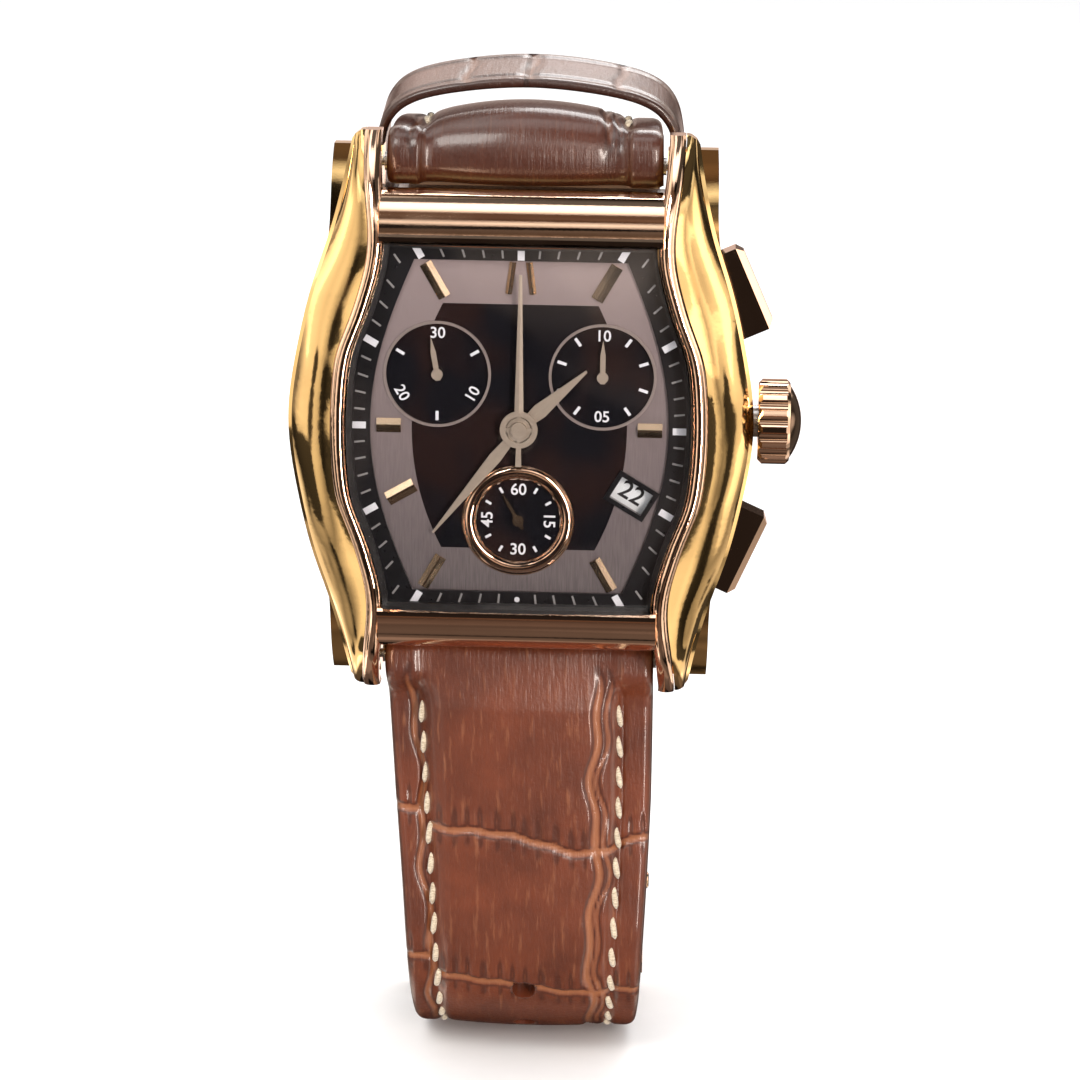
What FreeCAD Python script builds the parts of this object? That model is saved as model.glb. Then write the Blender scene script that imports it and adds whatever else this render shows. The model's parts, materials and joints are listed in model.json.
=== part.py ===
"""Tonneau chronograph wristwatch on a buckled leather strap.

The watch head is drawn in its own frame: x towards 3 o'clock, y towards 12 o'clock and z out of the
dial, with z = 0 on the caseback's outer face. Turning it 90 degrees about X gives the part's frame,
where the dial faces -Y and 12 o'clock points up +Z. The strap and buckle are drawn straight in the
part's frame, along routes in the Y-Z plane. All sizes are in millimetres.
"""
import FreeCAD
import Part
import math
import os
from FreeCAD import Vector

# ---- Case ----
CASE_LENGTH_HALF = 22.85        # lug tips
LUG_GAP_HALF = 11.3             # half the space between the lugs
TIER_LENGTH_HALF = 21.6         # lower tier, set back from the lug tips
END_BAR_INNER = 14.75           # where the crystal frame turns into the end bars
END_BAR_OUTER = 18.55           # outer face of the end bars
CASE_BOTTOM = 0.8
CREST_CENTRE = 10.0             # top of the bezel at the middle of the case
CREST_DROP = 6.4                # how much lower it is at the lug tips
ARCH_POWER = 5.5
BAND_WIDTH = 1.3                # rounded bezel band beside the crystal
BAND_DEPTH = 2.0
FLANK_SEAT = 5.0                # bottom of the shaped flanks at the middle of the case
FLANK_SEAT_DROP = 3.6
BORE_RADIUS = 14.3              # round space for the movement
DIAL_SEAT = 7.8
GAP = 0.05                      # clearance between shaped pieces that sit in one another
STATIONS = [CASE_LENGTH_HALF * step / 15 for step in range(-15, 16)]
SCREW_PLACES = [(x, y) for x in (-10.6, 10.6) for y in (-13.4, 13.4)]       # caseback screws

# Half-widths along the case, from the middle to a lug tip: (y, half-width)
FLANK_EDGE = [(0, 18.6), (6, 17.85), (11.5, 16.5), (14.5, 15.5), (17.5, 14.7), (20.5, 14.1), (23.2, 13.7)]
TIER_EDGE = [(0, 17.6), (6, 17.0), (11.5, 16.0), (15, 15.5), (18, 15.4), (21.6, 15.3)]
BAND_INNER = [(0, 13.65), (3.5, 13.5), (6.2, 13.05), (8.2, 12.3), (11.3, 11.3), (12.6, 10.98),
              (14.75, 10.75), (18.5, 11.1), (20.5, 11.3), (23.2, 11.4)]
DIAL_GROUND = [(0, 11.85), (3, 11.65), (5.5, 11.2), (8, 10.5), (10.5, 9.6), (13.4, 8.4)]

# ---- Crystal and dial ----
CRYSTAL_TOP = 11.4
CRYSTAL_THICKNESS = 1.1
CRYSTAL_RADIUS = 107.0          # curvature of the outer face
DIAL_TOP = 8.2
FLANGE_TOP = 8.5
GROUND_LENGTH_HALF = 13.4
COUNTER_X = 6.55                # the two upper counters
COUNTER_Y = 4.2
COUNTER_RADIUS = 4.05
COUNTER_DEPTH = 0.15
SECONDS_Y = -7.55               # the small seconds counter
SECONDS_RADIUS = 3.35
DATE_X, DATE_Y = 9.0, -5.35
DATE_WIDTH, DATE_HEIGHT = 2.9, 1.95

# ---- Time shown ----
MINUTES = 36.4
HOURS = 1
SECONDS = 55
MINUTE_COUNT_ANGLE = 350.0

HOUR_HAND_LEVEL, MINUTE_HAND_LEVEL, CHRONO_HAND_LEVEL = 8.64, 8.85, 9.06
HAND_THICKNESS = 0.12

# ---- Controls ----
CROWN_LEVEL = 3.6               # height of the crown's axis
PUSHER_LEVEL = 3.35
CROWN_RADIUS = 3.45
CROWN_START, CROWN_LENGTH = 18.95, 3.5
PUSHER_X, PUSHER_Y = 18.7, 11.1     # middle of a pusher's outer face
PUSHER_ANGLE = 24.0
PUSHER_LENGTH, PUSHER_HEIGHT, PUSHER_DEPTH = 7.0, 2.5, 3.2
PUSHER_TRAVEL = 0.8
PUSHER_STEM_RADIUS = 0.7
CROWN_FLUTES = 16
STEM_RADIUS = 0.45
TUBE_RADIUS = 1.28              # outside of the crown's tube

# ---- Movement ----
MOVEMENT_RADIUS = 13.4
PLATE_BOTTOM, PLATE_TOP = 4.9, 6.4
BRIDGE_BOTTOM, BRIDGE_TOP = 2.1, 2.6
DATE_DISC_BOTTOM, DATE_DISC_TOP = 7.2, 7.4
BATTERY_RADIUS, BATTERY_PLACE = 3.95, (-4.9, -3.2)
ARBOR_RADIUS = 0.2
RUNNING = 0.04                  # radial clearance of a turning pivot
MOVEMENT_SCREWS = [(-11.0, -5.2), (-11.0, 5.2), (5.2, 11.0), (5.2, -11.0)]
COUNTER_ARBORS = [(-COUNTER_X, COUNTER_Y), (COUNTER_X, COUNTER_Y), (0, SECONDS_Y)]

# ---- Motion work ----
CANNON_TEETH, MINUTE_WHEEL_TEETH = 12, 36
MINUTE_PINION_TEETH, HOUR_WHEEL_TEETH = 10, 40
CENTRE_DISTANCE = 2.88
MINUTE_WHEEL_ANGLE = -120.0
DATE_TEETH = 31
WHEEL_POST_RADIUS = 0.24
CANNON_RADIUS, HOUR_TUBE_RADIUS = 0.4, 0.68

# ---- Strap: routes in the Y-Z plane, s measured from the spring bars ----
BAR_Z, BAR_Y = 20.3, -2.6       # spring bars
BEND_Y, BEND_Z, BEND_RADIUS = 9.0, -43.0, 11.6      # bottom turn of the lower half
LOWER_TIP_Z = 9.0
NECK_RADIUS, NECK_TURN = 2.3, 80.0      # tight turn of the upper half just behind the lugs
ARCH_RADIUS = 15.0
BUCKLE_Z = -46.0
BAR_RADIUS = 0.75               # spring bars
LOOP_RADIUS = 1.65              # leather round a bar
LINING = 0.7
PADDED_SHARE = 0.74             # part of the width that the padding lifts
STRAP_HOLE_RADIUS = 0.95
HOLE_FIRST, HOLE_PITCH, HOLE_COUNT = 28.7, 5.5, 7
TONGUE_HOLE = 54.6              # the hole in use
LOWER_WIDTH = [(0, 22.0), (12, 21.2), (25, 19.8), (40, 18.4), (200, 18.4)]
UPPER_WIDTH = [(0, 22.0), (8, 21.4), (20, 21.2), (50, 18.4), (200, 18.4)]
LOWER_THICKNESS = [(0, 3.3), (4, 5.0), (14, 4.4), (28, 3.2), (40, 2.6), (200, 2.6)]
UPPER_THICKNESS = [(0, 3.3), (2.5, 4.2), (8, 3.8), (14, 3.2), (30, 3.0), (45, 2.6), (200, 2.6)]

# Closed loops of leather: (x, height) from the crown down the right-hand side
KEEPER_CROWN, KEEPER_WIDTH = 12.3, 8.0
KEEPER_SIDE = [(5.4, 11.85), (9.6, 10.8), (11.7, 9.0), (12.5, 6.0), (12.5, 2.1), (12.4, 0.7), (11.9, 0.12),
               (10.8, 0)]
KEEPER_PLACE, KEEPER_TILT = (7.2, 15.0), 9.0        # (y, z) of its foot, degrees its crown leans to the front
FIXED_KEEPER_CROWN, FIXED_KEEPER_WIDTH = 9.4, 6.5
FIXED_KEEPER_SIDE = [(5.7, 9.35), (9.1, 9.2), (10.2, 8.5), (10.4, 7.0), (10.4, 2.3), (10.2, 0.8), (9.1, 0.1)]
FIXED_KEEPER_PLACE = (14.1, -35.5)

# ---- Buckle ----
BUCKLE_BAR_RADIUS = 0.75
FRAME_INNER, FRAME_OUTER = 9.55, 10.4
BAR_REACH = 0.45                # of the buckle bar's rounded ends past the frame
BOW_ANGLE, BOW_REACH = -50.0, 14.4
BOW_RADIUS = 1.1
TONGUE_HALF = 0.7
ELBOW_Y, ELBOW_Z = 2.2, -4.2    # bend of the frame's arms, from the buckle bar

X_AXIS, Y_AXIS, Z_AXIS = Vector(1, 0, 0), Vector(0, 1, 0), Vector(0, 0, 1)
ORIGIN = Vector(0, 0, 0)


# ---------------------------------------------------------------- helpers
def along_table(table, at):
    """Straight-line value from a table of (position, value), the same on both sides of zero."""
    at = abs(at)
    for (p0, v0), (p1, v1) in zip(table, table[1:]):
        if at <= p1:
            return v0 + (v1 - v0) * (at - p0) / (p1 - p0)
    return table[-1][1]


def smooth_edge(points, closed=False):
    """A spline through the points."""
    curve = Part.BSplineCurve()
    curve.interpolate([Vector(*p) for p in points], PeriodicFlag=closed)
    return curve


def both_ways(table):
    """The (y, value) table mirrored to negative y, in rising y."""
    return [(-y, value) for y, value in reversed(table) if y > 0] + list(table)


def half_width_curve(table):
    return smooth_edge([(value, y, 0) for y, value in both_ways(table)])


def width_at(curve, y):
    """Half-width of a side curve at y."""
    line = Part.Line(Vector(0, y, 0), Vector(40, y, 0))
    return curve.intersectCC(line)[0].X


def barrel(table, length_half, z0, z1, inset=0.0):
    """Prism between two mirrored side curves, cut off square at both ends."""
    right = smooth_edge([(value - inset, y, z0) for y, value in both_ways(table)])
    left = smooth_edge([(inset - value, y, z0) for y, value in both_ways(table)])
    end, reach = table[-1][1] - inset, table[-1][0]
    bottom = Part.LineSegment(Vector(-end, -reach, z0), Vector(end, -reach, z0))
    top = Part.LineSegment(Vector(end, reach, z0), Vector(-end, reach, z0))
    edges = Part.sortEdges([right.toShape(), left.toShape(), bottom.toShape(), top.toShape()])[0]
    prism = Part.Face(Part.Wire(edges)).extrude(Vector(0, 0, z1 - z0))
    limit = length_half - inset
    return prism.common(block(-40, 40, -limit, limit, z0, z1)) if limit < reach else prism


def block(x0, x1, y0, y1, z0, z1):
    return Part.makeBox(x1 - x0, y1 - y0, z1 - z0, Vector(x0, y0, z0))


def rod(radius, z0, z1, x=0.0, y=0.0):
    return Part.makeCylinder(radius, z1 - z0, Vector(x, y, z0))


def tube(outer, inner, z0, z1, x=0.0, y=0.0):
    return rod(outer, z0, z1, x, y).cut(rod(inner, z0 - 1, z1 + 1, x, y))


def polygon_face(points):
    vectors = [Vector(*p) for p in points]
    return Part.Face(Part.makePolygon(vectors + vectors[:1]))


def plate(points, z0, z1):
    """Flat plate with a straight-sided outline of (x, y) points."""
    face = polygon_face([(x, y, z0) for x, y in points])
    return face.extrude(Vector(0, 0, z1 - z0))


def fuse_all(shapes):
    return shapes[0].multiFuse(shapes[1:]).removeSplitter()


def turned(shape, angle, centre=ORIGIN, axis=Z_AXIS):
    result = shape.copy()
    result.rotate(centre, axis, angle)
    return result


def moved(shape, x=0.0, y=0.0, z=0.0):
    result = shape.copy()
    result.translate(Vector(x, y, z))
    return result


def mirrored(shape):
    """The same shape on the 9 o'clock side."""
    return shape.mirror(ORIGIN, X_AXIS)


def chamfered(shape, size, picks):
    """Shape with the edges that the test picks cut back."""
    edges = [edge for edge in shape.Edges if picks(edge)]
    return shape.makeChamfer(size, edges)


# ---------------------------------------------------------------- case
def crest(y):
    """Height of the bezel's top along the case."""
    return CREST_CENTRE - CREST_DROP * (abs(y) / CASE_LENGTH_HALF) ** ARCH_POWER


def flank_seat(y):
    return FLANK_SEAT - FLANK_SEAT_DROP * (abs(y) / CASE_LENGTH_HALF) ** ARCH_POWER


def above(height_at, drop):
    """Everything above the arched surface height_at(y) - drop."""
    reach = CASE_LENGTH_HALF + 1
    rows = [(-1 + step / 8) * reach for step in range(17)]
    arch = smooth_edge([(-30, y, height_at(y) - drop) for y in rows]).toShape()
    low = height_at(reach) - drop
    corners = [(-30, reach, low), (-30, reach, 30), (-30, -reach, 30), (-30, -reach, low)]
    sides = Part.makePolygon([Vector(*p) for p in corners])
    face = Part.Face(Part.Wire(Part.sortEdges([arch] + sides.Edges)[0]))
    return face.extrude(Vector(60, 0, 0))


def band_section(y, inner_curve):
    """Rounded section of the bezel band at y."""
    inner = width_at(inner_curve, y)
    outer = inner + BAND_WIDTH
    top = crest(y)
    bottom = top - BAND_DEPTH
    corners = [Vector(inner, y, top - 0.55), Vector(inner, y, bottom),
               Vector(outer, y, bottom), Vector(outer, y, top - 0.45)]
    crown = Part.Arc(corners[3], Vector(inner + 0.55 * BAND_WIDTH, y, top), corners[0])
    edges = Part.makePolygon(corners).Edges + [crown.toShape()]
    return Part.Wire(Part.sortEdges(edges)[0])


def flank_section(y, inner_curve, outer_curve):
    """Section of a side flank: a flat seat, a low wall, a fine bevel and a gently crowned slope."""
    inner = width_at(inner_curve, y) + BAND_WIDTH + GAP
    outer = width_at(outer_curve, y)
    seat = flank_seat(y)
    top = crest(y) - 0.75
    wall = seat + 0.3 * (top - seat) * min(1.0, 1.2 - 0.02 * abs(y))
    bevel = Vector(outer - 0.3, y, wall + 0.3)
    peak = Vector(inner, y, top)
    middle = (bevel + peak) * 0.5 + Vector(0.22, 0, 0.32)
    corners = [peak, Vector(inner, y, seat), Vector(outer - 0.15, y, seat), Vector(outer, y, wall), bevel]
    slope = Part.Arc(bevel, middle, peak)
    edges = Part.makePolygon(corners).Edges + [slope.toShape()]
    return Part.Wire(Part.sortEdges(edges)[0])


def lug_tip_limit():
    """Outline that rounds the outer corners of the lug tips, as a tall prism."""
    tip, side = CASE_LENGTH_HALF, 13.95
    rim = 1.3
    quarter = [(side - rim + rim * math.sin(math.radians(a)), tip - rim + rim * math.cos(math.radians(a)))
               for a in (0, 22, 45, 68, 90)]
    right = quarter + [(23, 14)]
    lower_right = [(x, -y) for x, y in reversed(right)]
    left = [(-x, y) for x, y in reversed(right)]
    lower_left = [(-x, -y) for x, y in right]
    return plate(right + lower_right + lower_left + left, -5, 20)


def bezel():
    inner_curve = half_width_curve(BAND_INNER)
    band = Part.makeLoft([band_section(y, inner_curve) for y in STATIONS], True, False)
    bars = [end_bar(side, inner_curve) for side in (1, -1)]
    whole = fuse_all([band, mirrored(band)] + bars)
    return whole.common(lug_tip_limit())


def end_bar(side, inner_curve):
    """Bar between the lugs, with a thin raised rim along the crystal and a rolled outer face."""
    inner = END_BAR_INNER
    outer = END_BAR_OUTER
    top = crest(inner)
    bottom = top - BAND_DEPTH + 0.1
    half = width_at(inner_curve, inner) + 0.4
    rim = [Vector(-half, inner, bottom), Vector(-half, inner, top + 0.1), Vector(-half, inner + 0.2, top + 0.3),
           Vector(-half, inner + 0.55, top + 0.3), Vector(-half, inner + 0.75, top)]
    roll = Part.Arc(rim[4], Vector(-half, inner + 2.6, top - 0.75), Vector(-half, outer, top - 2.9))
    foot = [Vector(-half, outer, top - 2.9), Vector(-half, outer, 5.2), Vector(-half, outer - 0.8, 5.2),
            Vector(-half, outer - 0.8, bottom), rim[0]]
    edges = Part.makePolygon(rim).Edges + [roll.toShape()] + Part.makePolygon(foot).Edges
    bar = Part.Face(Part.Wire(Part.sortEdges(edges)[0])).extrude(Vector(2 * half, 0, 0))
    return bar if side > 0 else bar.mirror(ORIGIN, Y_AXIS)


def right_flank():
    inner_curve = half_width_curve(BAND_INNER)
    outer_curve = half_width_curve(FLANK_EDGE)
    sections = [flank_section(y, inner_curve, outer_curve) for y in STATIONS]
    return Part.makeLoft(sections, True, False).common(lug_tip_limit())


def case_middle():
    """Lower tier with the four lugs, and the deck that carries the bezel."""
    tier = barrel(TIER_EDGE, TIER_LENGTH_HALF, CASE_BOTTOM, 6.5)
    tier = tier.cut(above(flank_seat, GAP))
    band_outer = [(y, value + BAND_WIDTH - GAP) for y, value in BAND_INNER]
    deck = barrel(band_outer, TIER_LENGTH_HALF, CASE_BOTTOM, 9.0).cut(above(crest, BAND_DEPTH + GAP))
    body = fuse_all([tier, deck])
    reach = CASE_LENGTH_HALF + 2
    for y0, y1 in ((END_BAR_OUTER - 0.85, reach), (-reach, -END_BAR_OUTER + 0.85)):
        body = body.cut(block(-LUG_GAP_HALF, LUG_GAP_HALF, y0, y1, -1, 12))
    pocket = barrel(BAND_INNER, END_BAR_INNER + 0.35, DIAL_SEAT, 12, -0.35)
    body = body.cut(pocket).cut(rod(BORE_RADIUS, 0, 12))
    body = body.cut(tube(15.2, BORE_RADIUS - 1, 0, CASE_BOTTOM + 0.5))
    body = body.cut(Part.makeCylinder(TUBE_RADIUS + 0.02, 10, Vector(13, 0, CROWN_LEVEL), X_AXIS))
    for side in (1, -1):
        body = body.cut(pusher_space(side))
        for x in (1, -1):
            hole = Part.makeCylinder(0.45, 1.4, Vector(x * LUG_GAP_HALF, side * BAR_Z, -BAR_Y), Vector(x, 0, 0))
            body = body.cut(hole)
    for x, y in SCREW_PLACES:
        body = body.cut(rod(0.52, 0, 3.2, x, y))
    return body


def pusher_space(side):
    """Bore for a pusher's tube and the shallow pocket its block sinks into."""
    bore = Part.makeCylinder(1.25, 12, Vector(-11, 0, 0), X_AXIS)
    pocket = block(-4, 2, -PUSHER_LENGTH / 2 - 0.3, PUSHER_LENGTH / 2 + 0.3,
                   -PUSHER_HEIGHT / 2 - 0.15, PUSHER_HEIGHT / 2 + 0.15)
    return place_pusher(fuse_all([bore, pocket]), side)


# ---------------------------------------------------------------- caseback
def caseback():
    outline = plate([(-12.6, -12), (-9.5, -16.2), (9.5, -16.2), (12.6, -12),
                     (12.6, 12), (9.5, 16.2), (-9.5, 16.2), (-12.6, 12)], 0, CASE_BOTTOM)
    disc = rod(14.8, 0, CASE_BOTTOM)
    boss = tube(BORE_RADIUS - 0.05, 12.9, CASE_BOTTOM, 1.7)
    back = fuse_all([outline, disc, boss])
    for x, y in SCREW_PLACES:
        back = back.cut(rod(0.55, -1, 3, x, y)).cut(rod(1.15, -1, 0.45, x, y))
    return back


def caseback_gasket():
    return tube(15.15, BORE_RADIUS + 0.05, CASE_BOTTOM, CASE_BOTTOM + 0.45)


def caseback_screws():
    screws = []
    for x, y in SCREW_PLACES:
        head = rod(1.1, 0.05, 0.45, x, y)
        shank = rod(0.5, 0.45, 3.0, x, y)
        slot = block(x - 1.2, x + 1.2, y - 0.15, y + 0.15, 0, 0.25)
        screws.append(head.fuse(shank).removeSplitter().cut(slot))
    return Part.makeCompound(screws)


# ---------------------------------------------------------------- crystal and dial
def crystal_ball(radius):
    """Ball whose top lies on the crystal's axis, sharing the outer face's centre."""
    return Part.makeSphere(radius, Vector(0, 0, CRYSTAL_TOP - CRYSTAL_RADIUS))


def crystal():
    block_of_glass = barrel(BAND_INNER, END_BAR_INNER, DIAL_TOP, CRYSTAL_TOP + 1, GAP)
    dome = block_of_glass.common(crystal_ball(CRYSTAL_RADIUS))
    return dome.cut(crystal_ball(CRYSTAL_RADIUS - CRYSTAL_THICKNESS))


def crystal_gasket():
    frame = barrel(BAND_INNER, END_BAR_INNER, FLANGE_TOP, CRYSTAL_TOP, GAP)
    frame = frame.cut(barrel(BAND_INNER, END_BAR_INNER, 0, CRYSTAL_TOP + 2, 0.4))
    return frame.common(crystal_ball(CRYSTAL_RADIUS - CRYSTAL_THICKNESS - 0.01))


def flange():
    """Black ring that carries the minute track."""
    ring = barrel(BAND_INNER, END_BAR_INNER, DIAL_TOP, FLANGE_TOP, GAP)
    return ring.cut(barrel(DIAL_GROUND, GROUND_LENGTH_HALF, 0, 12))


def date_block(width, height, z0, z1):
    """Block at the date window, turned to lie along its radius."""
    shape = block(-width / 2, width / 2, -height / 2, height / 2, z0, z1)
    angle = math.degrees(math.atan2(DATE_Y, DATE_X))
    return moved(turned(shape, angle), DATE_X, DATE_Y)


def dial():
    disc = barrel(BAND_INNER, END_BAR_INNER, DIAL_SEAT, DIAL_TOP, GAP)
    recess = DIAL_TOP - COUNTER_DEPTH
    for x in (-COUNTER_X, COUNTER_X):
        disc = disc.cut(rod(COUNTER_RADIUS, recess, 10, x, COUNTER_Y))
        disc = disc.cut(rod(0.35, 0, 10, x, COUNTER_Y))
    disc = disc.cut(rod(SECONDS_RADIUS, recess, 10, 0, SECONDS_Y)).cut(rod(0.35, 0, 10, 0, SECONDS_Y))
    return disc.cut(rod(0.85, 0, 10)).cut(date_block(DATE_WIDTH, DATE_HEIGHT, 0, 10))


def counter_rings():
    rings = [tube(COUNTER_RADIUS + 0.22, COUNTER_RADIUS, DIAL_TOP, DIAL_TOP + 0.13, x, COUNTER_Y)
             for x in (-COUNTER_X, COUNTER_X)]
    return Part.makeCompound(rings)


def seconds_ring():
    """Raised polished ring with a rounded top."""
    inner, outer = SECONDS_RADIUS, SECONDS_RADIUS + 1.15
    foot = [Vector(outer, 0, DIAL_TOP + 0.12), Vector(outer, 0, DIAL_TOP), Vector(inner, 0, DIAL_TOP),
            Vector(inner, 0, DIAL_TOP + 0.1)]
    top = Part.Arc(foot[3], Vector((inner + outer) / 2, 0, DIAL_TOP + 0.42), foot[0])
    section = Part.Face(Part.Wire(Part.sortEdges(Part.makePolygon(foot).Edges + [top.toShape()])[0]))
    return moved(section.revolve(ORIGIN, Z_AXIS, 360), y=SECONDS_Y)


def date_frame():
    frame = date_block(DATE_WIDTH + 0.75, DATE_HEIGHT + 0.75, DIAL_TOP, DIAL_TOP + 0.2)
    return frame.cut(date_block(DATE_WIDTH, DATE_HEIGHT, 0, 12))


def baton(length, width, height=0.34):
    """Applied marker with a ridge, lying along +y from the origin."""
    half = width / 2
    section = [(-half, 0), (half, 0), (half, 0.12), (0.08 * width, height), (-0.08 * width, height), (-half, 0.12)]
    face = polygon_face([(x, 0, DIAL_TOP + z) for x, z in section])
    return face.extrude(Vector(0, length, 0))


def hour_markers():
    """Batons at 1, 3, 5, 7, 8, 9 and 11 and a spread pair at 12."""
    places = {1: (12.0, 3.1, 1.0), 3: (9.4, 1.95, 1.15), 5: (12.3, 2.85, 0.95), 7: (12.3, 2.85, 0.95),
              8: (9.6, 2.45, 1.15), 9: (9.4, 1.95, 1.15), 11: (12.0, 3.1, 1.0)}
    batons = [turned(moved(baton(length, width), y=inner), -30 * hour)
              for hour, (inner, length, width) in places.items()]
    pair = [moved(turned(baton(2.55, 0.52), side * 7.5), x=side * 0.97, y=10.75) for side in (1, -1)]
    return Part.makeCompound(batons + pair)


# ---------------------------------------------------------------- crown and pushers
def on_crown_axis(shape):
    """Turn a shape drawn along z so that it lies along the crown's axis, z becoming x."""
    return moved(turned(shape, 90, axis=Y_AXIS), z=CROWN_LEVEL)


def crown():
    start, end = CROWN_START, CROWN_START + CROWN_LENGTH
    grip = end - 0.95
    rim = CROWN_RADIUS
    profile = [Vector(0, 0, start), Vector(rim - 0.35, 0, start), Vector(rim, 0, start + 0.35),
               Vector(rim, 0, grip - 0.3), Vector(rim - 0.3, 0, grip), Vector(rim - 0.55, 0, grip + 0.05)]
    edge, rise = rim - 0.55, end - grip - 0.05
    dome_radius = (edge ** 2 + rise ** 2) / (2 * rise)
    half = math.asin(edge / dome_radius) / 2
    middle = Vector(dome_radius * math.sin(half), 0, end - dome_radius * (1 - math.cos(half)))
    dome = Part.Arc(profile[-1], middle, Vector(0, 0, end))
    closing = Part.LineSegment(Vector(0, 0, end), profile[0])
    edges = Part.makePolygon(profile).Edges + [dome.toShape(), closing.toShape()]
    body = Part.Face(Part.Wire(Part.sortEdges(edges)[0])).revolve(ORIGIN, Z_AXIS, 360)
    for turn in range(CROWN_FLUTES):
        angle = 2 * math.pi * (turn + 0.5) / CROWN_FLUTES
        x, y = 1.1 * rim * math.cos(angle), 1.1 * rim * math.sin(angle)
        body = body.cut(rod(0.6, start - 1, grip - 0.2, x, y))
    body = body.cut(rod(1.75, start - 1, start + 1.7)).cut(rod(STEM_RADIUS, start, end - 1.0))
    return on_crown_axis(body)


def stem():
    shaft = rod(STEM_RADIUS, 10.2, CROWN_START + CROWN_LENGTH - 1.0)
    groove = tube(1, 0.3, 11.4, 11.8)
    return on_crown_axis(shaft.cut(groove))


def crown_tube():
    return on_crown_axis(tube(TUBE_RADIUS, STEM_RADIUS + 0.05, 14.6, CROWN_START + 1.2))


def crown_gasket():
    return on_crown_axis(tube(1.72, TUBE_RADIUS + 0.03, CROWN_START + 0.4, CROWN_START + 1.0))


def place_pusher(shape, side):
    """From the pusher's own frame (x outward from its face, y along the case) to the watch."""
    return moved(turned(shape, side * PUSHER_ANGLE), PUSHER_X, side * PUSHER_Y, PUSHER_LEVEL)


def pusher(side):
    half_y, half_z = PUSHER_LENGTH / 2, PUSHER_HEIGHT / 2
    cap = block(-PUSHER_DEPTH, 0, -half_y, half_y, -half_z, half_z)
    cap = chamfered(cap, 0.5, lambda edge: abs(edge.CenterOfMass.x) < 0.01)
    cap = cap.cut(Part.makeCylinder(PUSHER_STEM_RADIUS, 1.2, Vector(-PUSHER_DEPTH, 0, 0), X_AXIS))
    return place_pusher(cap, side)


def pusher_stem(side):
    shaft = Part.makeCylinder(PUSHER_STEM_RADIUS, 5.5, Vector(-PUSHER_DEPTH - 4.3, 0, 0), X_AXIS)
    collar = Part.makeCylinder(0.95, 0.3, Vector(-PUSHER_DEPTH - 4.6, 0, 0), X_AXIS)
    return place_pusher(shaft.fuse(collar).removeSplitter(), side)


def pusher_tube(side):
    base = -PUSHER_DEPTH - PUSHER_TRAVEL - 0.1
    sleeve = Part.makeCylinder(1.22, 3.3, Vector(base - 3.3, 0, 0), X_AXIS)
    sleeve = sleeve.cut(Part.makeCylinder(PUSHER_STEM_RADIUS + 0.05, 5, Vector(base - 4, 0, 0), X_AXIS))
    well = Part.makeCylinder(1.08, 3, Vector(base - 2.0, 0, 0), X_AXIS)
    return place_pusher(sleeve.cut(well), side)


def pusher_spring(side):
    """Return spring round the stem, between the tube's shoulder and the cap."""
    length = 2.0 + PUSHER_TRAVEL + 0.06
    wire_radius = 0.1
    coil_radius = 0.88
    pitch = (length - 4 * wire_radius) / 5
    helix = Part.makeHelix(pitch, length - 2 * wire_radius - 0.02, coil_radius)
    start = Part.Circle(Vector(coil_radius, 0, 0), Y_AXIS, wire_radius)
    coil = Part.Wire(helix).makePipeShell([Part.Wire(start.toShape())], True, True)
    coil = turned(coil, 90, axis=Y_AXIS)
    return place_pusher(moved(coil, x=-PUSHER_DEPTH - length + wire_radius + 0.01), side)


# ---------------------------------------------------------------- movement
def minute_wheel_place():
    angle = math.radians(MINUTE_WHEEL_ANGLE)
    return CENTRE_DISTANCE * math.cos(angle), CENTRE_DISTANCE * math.sin(angle)


def movement_holder():
    """Plastic ring between the movement and the case, notched for the stem and pushers."""
    ring = tube(BORE_RADIUS - 0.05, MOVEMENT_RADIUS + 0.05, 1.9, PLATE_TOP)
    ring = ring.cut(Part.makeCylinder(0.8, 10, Vector(10, 0, CROWN_LEVEL), X_AXIS))
    for side in (1, -1):
        ring = ring.cut(pusher_way(side))
    return ring


def pusher_way(side):
    """Room for a pusher's sleeve, stem and collar over their whole travel."""
    return place_pusher(Part.makeCylinder(1.4, 14, Vector(-14, 0, 0), X_AXIS), side)


def main_plate():
    plate_body = rod(MOVEMENT_RADIUS, PLATE_BOTTOM, PLATE_TOP)
    for x, y in MOVEMENT_SCREWS:
        plate_body = plate_body.fuse(rod(0.9, BRIDGE_TOP, PLATE_BOTTOM + 0.1, x, y))
    seat = tube(13.0, 8.9, PLATE_TOP, DATE_DISC_BOTTOM - 0.05).cut(tube(11.8, 9.9, PLATE_TOP, 8))
    post_x, post_y = minute_wheel_place()
    post = rod(WHEEL_POST_RADIUS, PLATE_TOP - 0.1, 7.45, post_x, post_y)
    plate_body = fuse_all([plate_body, seat, post])
    plate_body = plate_body.cut(rod(ARBOR_RADIUS + RUNNING, 0, 12))
    for x, y in COUNTER_ARBORS:
        plate_body = plate_body.cut(rod(ARBOR_RADIUS + RUNNING, 0, 12, x, y))
    for x, y in MOVEMENT_SCREWS:
        plate_body = plate_body.cut(rod(0.35, 0, PLATE_TOP - 0.4, x, y))
    return plate_body


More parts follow.
